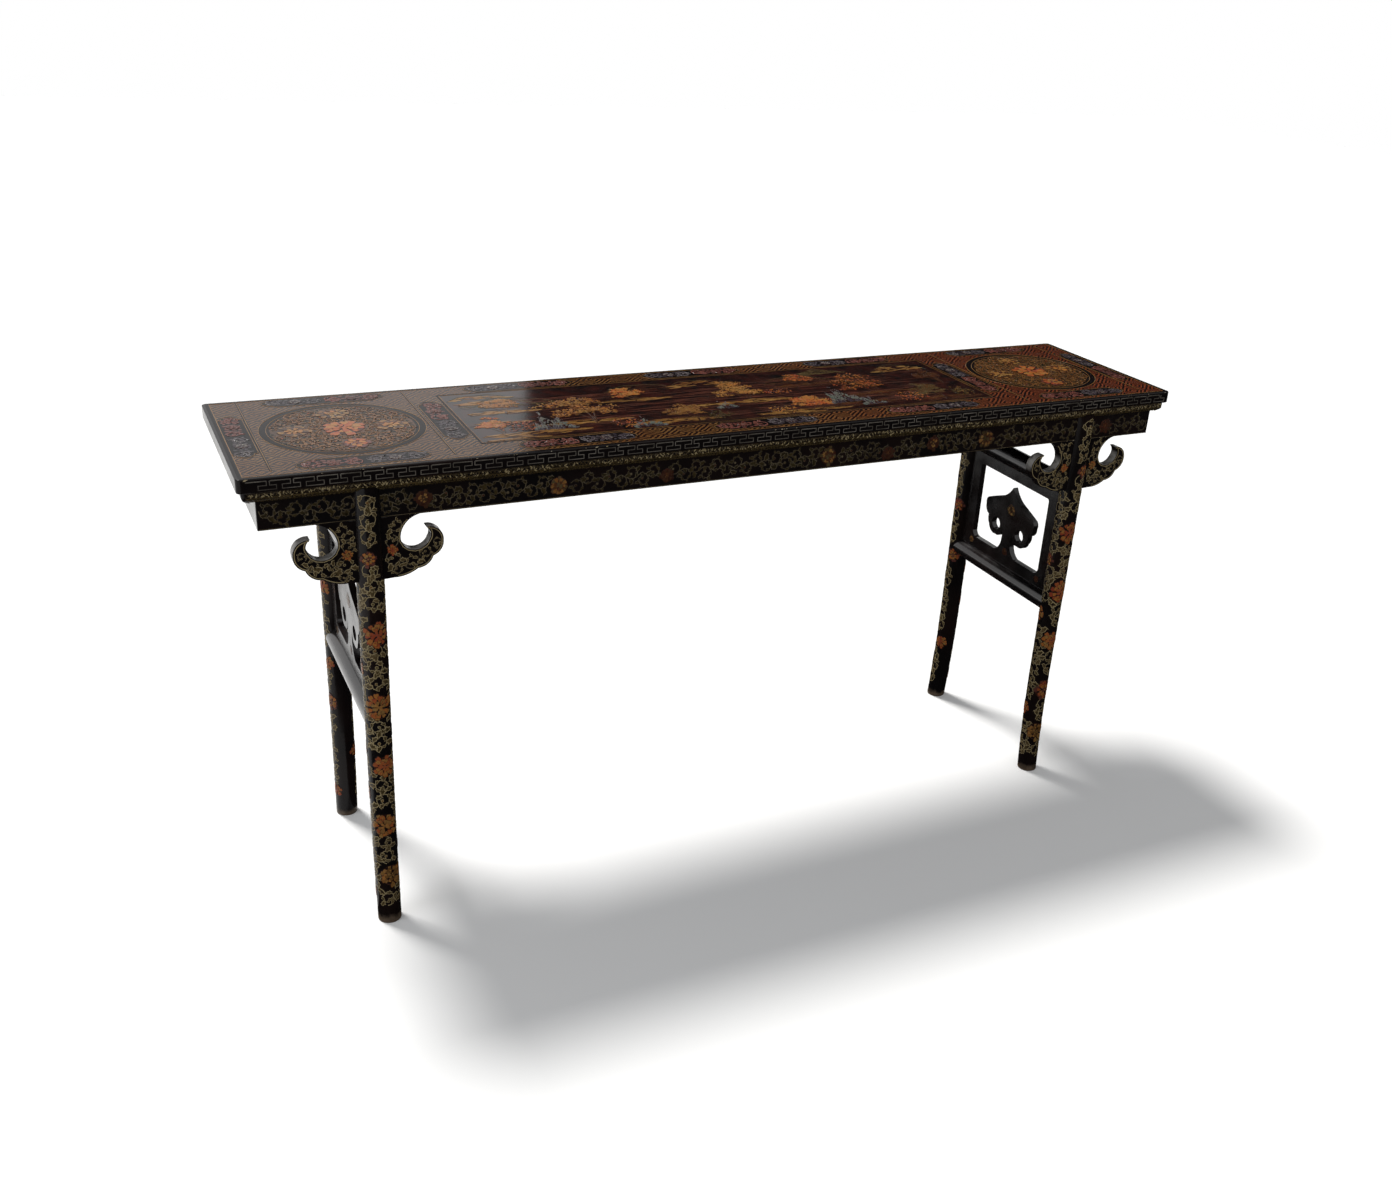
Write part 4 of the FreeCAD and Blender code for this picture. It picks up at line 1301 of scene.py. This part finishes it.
class PaintMedallions(bpy.types.Operator):
    """Paints the two round medallions of the top."""

    bl_idname = "altar_table.paint_medallions"
    bl_label = "Medallions"

    # Peonies of a medallion: place outwards and backwards from its middle in mm, radius, tint
    FLOWERS = [(0, 0, 38, "red"), (80, 2, 30, "golden"), (-78, -4, 28, "golden"), (3, 80, 27, "golden"),
               (-3, -80, 25, "pink")]

    def execute(self, context):
        ready()
        size = sizes()
        radius = size.medallion_radius
        field = radius - 14.5 * MM
        for side, name in ((-1, "left"), (1, "right")):
            centre = side * size.medallion_place
            parts = [stamps("disc", [(centre, 0, 0, radius)], "ground", size_spread=0, relief=0.5)]
            lift = size.relief * 0.5
            circle = np.array(ring_outline(120))
            for reach, width in ((radius - 1.0 * MM, 1.1), (radius - 12.5 * MM, 1.1)):
                parts.append(even_line(circle * reach + (centre, 0), width * MM, "ochre", True, lift))
            flowers = [(centre + a * side * MM, b * MM, r * MM, tint) for a, b, r, tint in self.FLOWERS]

            def inside(x, y):
                if math.hypot(x - centre, y) > field:
                    return False
                return all(math.hypot(x - a, y - b) > 0.84 * r for a, b, r, tint in flowers)
            vine = Vine(80 + side, inside, [(a, b, 0.84 * r) for a, b, r, tint in flowers])
            for reach, curl in ((103, 15.0), (74, 14.0), (49, 10.0)):
                vine.ring((centre, 0), reach * MM, curl * MM)
            low, high = (centre - field, -field), (centre + field, field)
            parts.append(stamps("disc", [(centre, 0, 0, field)], "amber", size_spread=0, relief=0.5,
                                lift=size.relief * 0.2))
            made = [filler(inside, low, high, 8.6 * MM, 9 * MM, 14 * MM, "ground", "sage", 5 + side)]
            made += [raised(part, lift) for part in vine.parts("honey", "honey", "ground", size.vine_line,
                                                               ("gold", "red", "orange", "rose"))]
            parts += [raised(part, lift) for part in made]
            for i, (a, b, r, tint) in enumerate(flowers):
                parts += peony(a, b, r, PEONY_TINTS[tint], lift + size.relief * 1.2, i, i + 9)
            piece("medallion_" + name, parts, on_top)
        return {"FINISHED"}


def cartouche_outline(half_length, half_width):
    """A long panel whose ends step in like clouds."""
    a, b = half_length, half_width
    lobe = [(a - 24, b), (a - 19, b - 2), (a - 17, b - 7), (a - 10, b - 8), (a - 7, b - 12),
            (a - 3, b - 14), (a, b - 19), (a, 0)]
    corner = [(max(x, 0), max(y, 0)) for x, y in lobe]
    right = corner[:-1] + [(x, -y) for x, y in reversed(corner[:-1])]
    left = [(-x, -y) for x, y in right]
    return np.array(right + left) * MM


class PaintCartouches(bpy.types.Operator):
    """Paints the panels of blossoms round the top."""

    bl_idname = "altar_table.paint_cartouches"
    bl_label = "Cartouches"

    def execute(self, context):
        ready()
        places = []
        for i in range(-2, 3):
            places.append((i * CARTOUCHE_PITCH, -163.5, 0, 104, 22.5))
            places.append((i * CARTOUCHE_PITCH, 163.0, 2, 104, 22.5))
        for side in (-1, 1):
            quarter = 3 if side < 0 else 1
            places.append((side * 869, 0, quarter, 108, 21.5))
            places.append((side * 536, 0, quarter, 108, 23.0))
        for i, place in enumerate(places):
            self.panel(i, *place)
        return {"FINISHED"}

    def panel(self, index, x, y, quarter, half_length, half_width):
        """One cartouche, half of it pink and half lavender."""
        outline = cartouche_outline(half_length, half_width)
        step = sizes().relief
        parts = [filled("panel", outline, 0.2 * MM, "ground", 0.5)]
        edge = inset(np.concatenate((outline, outline[:1])), 1.6 * MM)[:-1]
        parts.append(even_line(edge, 1.1 * MM, "gold", True, step * 0.5))
        length, width = half_length * MM, half_width * MM
        for side, tint, rim, second in ((-1, "pink", "rose", "ember"), (1, "lavender", "mist", "grey")):
            def inside(px, py):
                hem = 5.5 * MM if abs(px) < length - 18 * MM else 12 * MM
                return abs(py) < width - hem + 2 * MM and 2 * MM < px * side < length - 5 * MM
            flower = (side * length * 0.46, 0.0, width * 0.52)
            vine = Vine(index * 2 + side + 200, inside, [flower])
            ends = sorted((side * 3 * MM, side * (length - 9 * MM)))
            vine.strip(ends[0], ends[1], 0.0, width - 4.4 * MM, (width - 4.4 * MM) * 0.72)
            low, high = (ends[0], -width), (ends[1], width)
            made = [filler(inside, low, high, 7.6 * MM, 8 * MM, 12 * MM, tint, tint, index)]
            made += [raised(part, step * 0.5) for part in vine.parts(rim, tint, rim, sizes().vine_line,
                                                                     (rim, second))]
            parts += [raised(part, step * 0.5) for part in made]
            parts += peony(*flower, (tint, second, tint, rim), step * 1.4, 0, index)

        def wrap(p):
            px, py = turned(quarter, p[:, 0], p[:, 1])
            return on_top(np.column_stack((px + x * MM, py + y * MM, p[:, 2])))
        piece("cartouche_%02d" % (index + 1), parts, wrap)


class RuleTop(bpy.types.Operator):
    """Rules the fine double lines across the top and round its edge."""

    bl_idname = "altar_table.rule_top"
    bl_label = "Ruled Lines"

    def execute(self, context):
        ready()
        parts = []
        reach = 176 * MM
        for side in (-1, 1):
            for place in (845.0, 564.0):
                x = side * place * MM
                band = np.array([(x, -reach), (x, reach)])
                parts.append(even_line(band, 4.4 * MM, "ground"))
                parts.append(even_line(band, 1.1 * MM, "ochre", lift=sizes().relief))
        piece("ruled_cross_lines", parts, on_top)
        parts = []
        for edge, width, tint, lift in ((5.3, 6.4, "ground", -0.1), (9.2, 1.0, "ochre", 0.05)):
            a, b = HALF_LENGTH - edge * MM, HALF_DEPTH - edge * MM
            corner = max(SLAB_CORNER - edge * MM, 1.5 * MM)
            along = np.arange(0, round_run(a, b, corner)[-1], 1.6 * MM)
            x, y = round_loop(along, np.zeros(len(along)), a, b, corner)
            parts.append(even_line(np.column_stack((x, y)), width * MM, tint, True, lift * MM))

        def level(p):
            return np.column_stack((p[:, 0], p[:, 1], TOP_Z + p[:, 2]))
        piece("ruled_border_line", parts, level)
        return {"FINISHED"}


class PaintPicture(bpy.types.Operator):
    """Paints a garden of rocks, flowering trees and water on the middle panel."""

    bl_idname = "altar_table.paint_picture"
    bl_label = "Garden Picture"

    # Trees: trunk's foot, crown's half width and height in mm, and three tints from dark to light
    TREES = [(-462, -98, 34, 96, ("ember", "red", "orange")),
             (-424, 14, 42, 88, ("ember", "honey", "orange")),
             (-290, -74, 58, 150, ("ember", "honey", "orange")),
             (-176, 26, 36, 76, ("ember", "red", "orange")),
             (-112, -112, 42, 108, ("ember", "honey", "gold")),
             (34, -34, 56, 136, ("ember", "orange", "gold")),
             (140, -122, 44, 100, ("ember", "red", "orange")),
             (188, 36, 36, 76, ("bark", "red", "amber")),
             (300, -60, 56, 146, ("ember", "amber", "red")),
             (408, -112, 44, 104, ("bark", "olive", "amber")),
             (466, -16, 30, 104, ("bark", "ember", "amber"))]
    # Rocks: middle of the foot, half width and height in mm
    ROCKS = [(-368, -100, 38, 104), (-206, -128, 30, 58), (214, -92, 38, 108), (256, -114, 24, 56),
             (-28, -66, 20, 50)]
    # Banks: middle, half width and half depth in mm
    BANKS = [(-410, -112, 88, 14), (-300, -76, 76, 12), (-150, -112, 86, 14), (10, -40, 96, 13),
             (104, -120, 90, 12), (236, -104, 70, 14), (330, -56, 96, 13), (424, -116, 74, 12),
             (-430, 12, 62, 11), (-176, 22, 66, 10), (190, 30, 76, 10),
             (-452, -46, 52, 12), (-458, 74, 48, 12), (-444, -134, 60, 8)]
    # Low flowers: middle, half width and half depth in mm, tints
    BEDS = [(-424, -66, 40, 28, ("bark", "red", "rose")), (-238, -96, 30, 26, ("bark", "red", "pink")),
            (-60, -100, 26, 22, ("moss", "olive", "tan")), (66, -104, 30, 26, ("bark", "orange", "gold")),
            (352, -88, 36, 28, ("bark", "red", "rose")), (470, -84, 24, 30, ("moss", "olive", "gold")),
            (-344, 30, 34, 16, ("ember", "ochre", "orange")), (110, 6, 30, 18, ("ember", "red", "rose"))]
    # Far hills: left end, length, height, depth in mm, tint
    HILLS = [(-500, 190, 60, 42, "tan"), (-504, 120, 30, 96, "ochre"), (-216, 150, 42, 76, "bark"),
             (-90, 130, 48, 72, "ochre"), (100, 160, 56, 44, "bark"), (196, 110, 40, 88, "tan"),
             (360, 130, 52, 70, "ochre")]
    # Place along the picture, in mm, from which its banks are dimmer
    DIM_START = 150

    def execute(self, context):
        ready()
        size = sizes()
        half_length, half_depth = size.picture_length / 2, size.picture_depth / 2
        corners = [(-half_length, -half_depth), (half_length, -half_depth), (half_length, half_depth),
                   (-half_length, half_depth)]
        step = size.relief
        parts = [filled("picture", corners, 0.2 * MM, "maroon", 0.4)]
        for inner, width, tint in ((1.8, 3.6, "ground"), (4.4, 1.2, "gold")):
            loop = np.array(corners) - np.sign(corners) * inner * MM
            parts.append(lines([(loop, 1.3)], width * MM, tint, True, step * 0.4))
        piece("garden_picture_ground", parts, on_top)
        self.chance = random.Random(12)
        self.strokes = {}
        self.limit = (half_length - 7 * MM, half_depth - 7 * MM)
        parts = [self.water(half_length, half_depth, 150, 1.6 * MM, "ember"),
                 self.water(half_length * 0.86, half_depth * 0.9, 120, 2.4 * MM, "dusk"), self.hills(),
                 self.trunks()]
        for bank in self.BANKS:
            self.bank(*bank)
        for tree in self.TREES:
            self.crown(*tree)
        for rock in self.ROCKS:
            self.rock(*rock)
        for bed in self.BEDS:
            self.bed(*bed)
        leaves = []
        for order, ((motif, level, tint), spots) in enumerate(sorted(self.strokes.items())):
            made = stamps(motif, spots, tint, lift=step * (0.5 + 0.22 * level), size_spread=0.2,
                          relief=0.7, seed=order)
            (leaves if motif == "dab" else parts).append(made)
        piece("garden_banks", parts, on_top)
        piece("garden_trees", leaves, on_top)
        return {"FINISHED"}

    def stroke(self, motif, level, tint, x, y, turn, length):
        """One touch of the brush, in mm, kept inside the picture."""
        reach = 0.5 * length * MM
        if abs(x * MM) + reach * abs(math.cos(turn)) > self.limit[0]:
            return
        if abs(y * MM) + reach * abs(math.sin(turn)) > self.limit[1]:
            return
        self.strokes.setdefault((motif, level, tint), []).append((x * MM, y * MM, turn, length * MM))

    def water(self, half_length, half_depth, count, width, tint):
        """Long ripples."""
        paths = []
        for _ in range(count):
            length = self.chance.uniform(40, 190) * MM
            x = self.chance.uniform(-half_length + 8 * MM, half_length - 8 * MM - length)
            y = self.chance.uniform(-half_depth + 8 * MM, half_depth * 0.62)
            share = np.linspace(0, 1, 12)
            drift = self.chance.uniform(-7, 7) * MM
            wave = 0.9 * MM * np.sin(share * 9 + x * 40)
            fade = np.sin(share * math.pi * 0.98 + 0.03) * 0.9 + 0.1
            paths.append((np.column_stack((x + share * length, y + drift * share + wave)), fade))
        return lines(paths, width, tint, lift=sizes().relief * 0.4)

    def hills(self):
        """Far ridges, each with strokes that fade below it."""
        paths = []
        for x, length, height, y, tint in self.HILLS:
            share = np.linspace(0, 1, 24)
            top = np.sin(share * math.pi) ** 0.8 * height + 3 * np.sin(share * 13 + x)
            ridge = np.column_stack((x + share * length, y + top * 0.9)) * MM
            paths.append((ridge, 0.4 + 0.8 * np.sin(share * 3)))
            for _ in range(44):
                at = self.chance.uniform(0.05, 0.95)
                rise = float(np.interp(at, share, top)) * 0.9 * self.chance.uniform(0.1, 0.9)
                self.stroke("stroke", 0, tint, x + at * length, y + rise, self.chance.uniform(-0.3, 0.3),
                            self.chance.uniform(12, 26))
        return lines(paths, 1.5 * MM, "tan", lift=sizes().relief * 0.5)

    def trunks(self):
        """Bent trunks with two boughs each."""
        paths = []
        for x, y, wide, high, tints in self.TREES:
            for bend, reach in ((0.1, 0.8), (-0.55, 0.6), (0.6, 0.65)):
                share = np.linspace(0, 1, 8)
                px = x + share ** 1.6 * bend * wide + 3 * np.sin(share * 5)
                py = y - 10 + share * high * reach
                paths.append((np.column_stack((px, py)) * MM, 1.1 - share * 0.8))
        return lines(paths, 3.4 * MM, "bark", lift=sizes().relief * 0.8)

    def crown(self, x, y, wide, high, tints):
        """A crown made of small fans of leaves."""
        for _ in range(round(wide * 0.72)):
            angle = self.chance.uniform(-0.1, 1.1) * math.pi
            share = self.chance.uniform(0.15, 0.9)
            cx = x + wide * share * math.cos(angle)
            cy = y + high * (0.35 + 0.6 * share * max(math.sin(angle), -0.2))
            self.fan(cx, cy, self.chance.uniform(0.22, 0.36) * wide, tints)

    def fan(self, x, y, radius, tints):
        for _ in range(27):
            angle = self.chance.uniform(-0.15, 1.15) * math.pi
            share = self.chance.uniform(0.2, 1.0)
            level = min(2, int(share * 2.2 + self.chance.uniform(-0.3, 0.8)))
            self.stroke("dab", 2 + 2 * level, tints[level], x + radius * share * math.cos(angle),
                        y + 0.8 * radius * share * math.sin(angle), angle + self.chance.uniform(-0.4, 0.4),
                        self.chance.uniform(5.5, 9.5) - level)

    def rock(self, x, y, wide, high):
        """An upright garden rock: slanting faces, light along its top."""
        for _ in range(round(wide * high * 0.055)):
            at = self.chance.uniform(-1, 1)
            top = high * (1 - abs(at) ** 1.5) * (0.75 + 0.25 * math.sin(at * 9 + x))
            share = self.chance.uniform(0, 1)
            tint = ("lavender", "teal", "mist")[min(2, int(share * 2.1 + self.chance.uniform(0, 0.7)))]
            level = 7 if tint == "mist" else 5
            self.stroke("dab", level, tint, x + at * wide, y + top * share, 1.35 - 0.7 * at
                        + self.chance.uniform(-0.3, 0.3), self.chance.uniform(7, 13) - (tint == "mist") * 3)

    def bank(self, x, y, wide, deep):
        """A shore of long strokes, dimmer towards the right."""
        tints = ("bark", "ochre", "gold") if x < self.DIM_START else ("bark", "ember", "amber")
        for _ in range(round(wide * 0.80)):
            at = self.chance.uniform(-1, 1)
            share = self.chance.uniform(-1, 1)
            level = min(2, int((share + 1) * 1.1 + self.chance.uniform(0, 0.8)))
            self.stroke("stroke", level + 1, tints[level], x + at * wide,
                        y + share * deep * (1 - at * at * 0.8),
                        self.chance.uniform(-0.16, 0.16), self.chance.uniform(14, 34))

    def bed(self, x, y, wide, deep, tints):
        """A bed of low flowers."""
        for _ in range(round(wide * deep * 0.16)):
            angle, share = self.chance.uniform(0, TURN), self.chance.uniform(0, 1) ** 0.6
            level = min(2, int(self.chance.uniform(0, 3)))
            self.stroke("dab", 6 + level, tints[level], x + wide * share * math.cos(angle),
                        y + deep * share * math.sin(angle), self.chance.uniform(0.2, 2.9),
                        self.chance.uniform(5, 9) - level)


class PaintRoundels(bpy.types.Operator):
    """Paints the small flowers of the open end panels."""

    bl_idname = "altar_table.paint_roundels"
    bl_label = "End Roundels"

    def execute(self, context):
        ready()
        face = BOARD_HIGH.x - LEG_X
        middle_z = ORNAMENT_LOW.z + 0.69 * (ORNAMENT_HIGH.z - ORNAMENT_LOW.z)
        stem_z, board_z = ORNAMENT_LOW.z + 15 * MM, BOARD_LOW.z + 20 * MM
        parts = []
        for i, (y, z, radius) in enumerate(((4, middle_z, 14.0), (2, stem_z, 9.0), (-118, board_z, 8.0),
                                            (118, board_z, 8.0))):
            parts += peony(y * MM, z, radius * MM, DIMMED_TINTS["red" if i % 2 else "yellow"], 0.0, i, i)
        for side, name in ((-1, "left"), (1, "right")):
            for facing in (-1, 1):
                def wrap(p):
                    x = side * LEG_X + facing * (face + p[:, 2])
                    return np.column_stack((x, facing * p[:, 0], p[:, 1]))
                tail = "inner" if facing != side else "outer"
                piece("end_roundels_%s_%s" % (name, tail), parts, wrap)
        return {"FINISHED"}


class ChipEdges(bpy.types.Operator):
    """Chips and rubs along the edges that get knocked."""

    bl_idname = "altar_table.chip_edges"
    bl_label = "Worn Chips"

    # Larger pale marks on the front edge: place along it and length in mm
    KNOCKS = [(-886, 8.0), (-336, 6.0), (-318, 4.5), (-298, 6.5)]

    def execute(self, context):
        ready()
        chance = random.Random(8)
        edges = [(-HALF_LENGTH, HALF_LENGTH, HALF_DEPTH, 0, TOP_Z - 1.2 * MM, 34),
                 (-HALF_LENGTH, HALF_LENGTH, HALF_DEPTH, 2, TOP_Z - 1.2 * MM, 30),
                 (-HALF_DEPTH, HALF_DEPTH, HALF_LENGTH, 1, TOP_Z - 1.2 * MM, 10),
                 (-HALF_DEPTH, HALF_DEPTH, HALF_LENGTH, 3, TOP_Z - 1.2 * MM, 10),
                 (-APRON_X, APRON_X, APRON_Y, 0, APRON_BOTTOM + 1.0 * MM, 26),
                 (-APRON_X, APRON_X, APRON_Y, 2, APRON_BOTTOM + 1.0 * MM, 26)]
        for low, high, distance, quarter, z, count in edges:
            spots = []
            for _ in range(count):
                spots.append((chance.uniform(low + 10 * MM, high - 10 * MM), z, chance.uniform(-0.2, 0.2),
                              chance.uniform(1.2, 4.0) * MM))
            if quarter == 0 and z > FRAME_BOTTOM:
                spots += [(x * MM, z - 0.6 * MM, 0.1, length * MM) for x, length in self.KNOCKS]
            part = stamps("dab", spots, "chip", size_spread=0.3, relief=0.6)
            name = "chips_%s_%d" % ("slab" if z > FRAME_BOTTOM else "apron", quarter)
            piece(name, [part], on_upright(distance - 0.1 * MM, quarter))
        return {"FINISHED"}


def seen_directly(nodes):
    """One where the camera, a mirror or a glass looks, and nought where light only bounces."""
    path = nodes.add("ShaderNodeLightPath").outputs
    total = path["Is Camera Ray"]
    for name in ("Is Glossy Ray", "Is Transmission Ray"):
        total = nodes.maths("MAXIMUM", total, path[name])
    return total


class SetStage(bpy.types.Operator):
    """A pale floor, soft lamps and the photograph's viewpoint."""

    bl_idname = "altar_table.set_stage"
    bl_label = "Studio"

    # Half the floor's side, in metres
    FLOOR_REACH = 14.0
    # Dark sheets that only polish mirrors, in metres. The right part of the top mirrors the flag,
    # an (x, z) outline behind the table, and its sides the card, an (x, y) outline on the ground.
    FLAG_Y = 0.9
    FLAG = [(-0.095, 0.92), (5.0, 0.92), (5.0, 3.0), (-0.095, 3.0)]
    CARD_Z = 0.002
    CARD = [(-1.5, -9.0), (9.0, -9.0), (9.0, 3.5), (-0.68, 3.5), (-0.68, -0.15), (-1.5, -0.15)]
    # The photograph's viewpoint: angles, place in metres, and width, lens and shift in its pixels
    AZIMUTH, ELEVATION, ROLL = 0.48503, 0.42302, 0.06543
    STANDPOINT = (-1.11359, -2.18625, 1.57362)
    PHOTO_WIDTH, FOCAL_LENGTH = 1392, 1362.72
    SHIFT_X, SHIFT_Y = -38.41, -3.24

    def execute(self, context):
        ready()
        self.floor()
        self.dark_sheets()
        self.sun("window_key", (-0.20, 0.43, 0.83), 14.0, 3.15, (1.0, 0.985, 0.96))
        self.lamp("front_fill", (1.3, -3.2, 2.0), (0.7, -0.3, 0.2), 3.0, 2.0, 10, (1.0, 0.98, 0.96))
        self.lamp("left_window", (-3.6, -0.9, 2.3), (-0.4, 0.0, 0.6), 2.2, 2.0, 32, (0.97, 0.985, 1.0))
        context.scene.world = self.air()
        context.scene.view_settings.view_transform = "Standard"
        self.camera()
        return {"FINISHED"}

    def air(self):
        """Grey light from all round, behind which the camera sees white."""
        world = bpy.data.worlds.new("studio_air")
        world.use_nodes = True
        nodes = Nodes(world.node_tree)
        grey = nodes.tree.nodes["Background"]
        grey.inputs["Color"].default_value = (0.23, 0.235, 0.24, 1)
        white = nodes.add("ShaderNodeBackground", Color=(1, 1, 1, 1))
        blend = nodes.add("ShaderNodeMixShader")
        nodes.feed(blend.inputs[0], seen_directly(nodes))
        nodes.feed(blend.inputs[1], grey.outputs[0])
        nodes.feed(blend.inputs[2], white.outputs[0])
        nodes.feed(nodes.tree.nodes["World Output"].inputs["Surface"], blend.outputs[0])
        return world

    def floor(self):
        reach = self.FLOOR_REACH
        made = self.sheet("studio_floor", [(-reach, -reach, 0), (reach, -reach, 0), (reach, reach, 0),
                                           (-reach, reach, 0)])
        finish = Finish("pale_floor")
        direct = seen_directly(finish)
        bounced = [0.5 * value for value in colours().floor]
        finish.set(Base_Color=finish.mix(direct, bounced, colours().floor), Roughness=0.9,
                   Specular_IOR_Level=0.0)
        glow = finish.add("ShaderNodeEmission", Color=(1, 1, 1, 1),
                          Strength=finish.maths("MULTIPLY", direct, 0.10))
        both = finish.add("ShaderNodeAddShader")
        finish.feed(both.inputs[0], finish.shader.outputs[0])
        finish.feed(both.inputs[1], glow.outputs[0])
        finish.feed(finish.tree.nodes["Material Output"].inputs["Surface"], both.outputs[0])
        made.data.materials.append(finish.material)

    def dark_sheets(self):
        cloth = Finish("flag_cloth")
        cloth.set(Base_Color=(0.01, 0.01, 0.01, 1), Roughness=1.0, Specular_IOR_Level=0.0)
        for name, corners in (("dark_flag", [(x, self.FLAG_Y, z) for x, z in self.FLAG]),
                              ("dark_card", [(x, y, self.CARD_Z) for x, y in self.CARD])):
            made = self.sheet(name, corners)
            made.data.materials.append(cloth.material)
            made.visible_camera = False
            made.visible_diffuse = False
            made.visible_shadow = False

    def sheet(self, name, corners):
        mesh = bpy.data.meshes.new(name)
        mesh.from_pydata(corners, [], [range(len(corners))])
        made = bpy.data.objects.new(name, mesh)
        bpy.context.scene.collection.objects.link(made)
        return made

    def light(self, name, kind, power, tint, turn):
        data = bpy.data.lights.new(name, kind)
        data.energy = power
        data.color = tint
        made = bpy.data.objects.new(name, data)
        made.rotation_euler = turn.to_euler()
        bpy.context.scene.collection.objects.link(made)
        return made

    def sun(self, name, towards, angle, strength, tint):
        made = self.light(name, "SUN", strength, tint, Vector(towards).to_track_quat("Z", "Y"))
        made.data.angle = math.radians(angle)

    def lamp(self, name, place, aim, width, height, watts, tint):
        turn = (Vector(aim) - Vector(place)).to_track_quat("-Z", "Y")
        made = self.light(name, "AREA", watts, tint, turn)
        made.location = place
        made.visible_glossy = name != "front_fill"
        made.data.shape = "RECTANGLE"
        made.data.size, made.data.size_y = width, height

    def camera(self):
        data = bpy.data.cameras.new("photo_view")
        made = bpy.data.objects.new("photo_view", data)
        bpy.context.scene.collection.objects.link(made)
        flat = math.cos(self.ELEVATION)
        look = Vector((math.sin(self.AZIMUTH) * flat, math.cos(self.AZIMUTH) * flat,
                       -math.sin(self.ELEVATION)))
        level = look.cross(Vector((0, 0, 1))).normalized()
        rise = level.cross(look)
        right = math.cos(self.ROLL) * level + math.sin(self.ROLL) * rise
        up = math.cos(self.ROLL) * rise - math.sin(self.ROLL) * level
        turn = Matrix((right, up, -look)).transposed().to_4x4()
        made.matrix_world = Matrix.Translation(self.STANDPOINT) @ turn
        data.sensor_width = 36.0
        data.lens = self.FOCAL_LENGTH / self.PHOTO_WIDTH * data.sensor_width
        data.shift_x = self.SHIFT_X / self.PHOTO_WIDTH
        data.shift_y = self.SHIFT_Y / self.PHOTO_WIDTH
        bpy.context.scene.camera = made


class AltarTablePanel(bpy.types.Panel):
    """Lists the steps in the sidebar."""

    bl_idname = "VIEW3D_PT_altar_table"
    bl_label = "Altar Table"
    bl_space_type = "VIEW_3D"
    bl_region_type = "UI"
    bl_category = "Altar Table"

    def draw(self, context):
        for step in STEPS:
            self.layout.operator(step.bl_idname)


STEPS = (LacquerFrame, SoftenCarving, PaintFret, GildMoulding, PaintAprons, PaintLegs, PaintSpandrels,
         RuleTop, PaintMedallions, PaintCartouches, PaintPicture, PaintRoundels, ChipEdges, SetStage)
CLASSES = (AltarTableSizes, AltarTableColours, *STEPS, AltarTablePanel)


def register():
    for each in CLASSES:
        bpy.utils.register_class(each)
    bpy.types.Scene.altar_table_sizes = bpy.props.PointerProperty(type=AltarTableSizes)
    bpy.types.Scene.altar_table_colours = bpy.props.PointerProperty(type=AltarTableColours)


def unregister():
    del bpy.types.Scene.altar_table_colours
    del bpy.types.Scene.altar_table_sizes
    for each in reversed(CLASSES):
        bpy.utils.unregister_class(each)


def main():
    register()
    for step in STEPS:
        area, name = step.bl_idname.split(".")
        getattr(getattr(bpy.ops, area), name)()


if __name__ == "__main__":
    main()
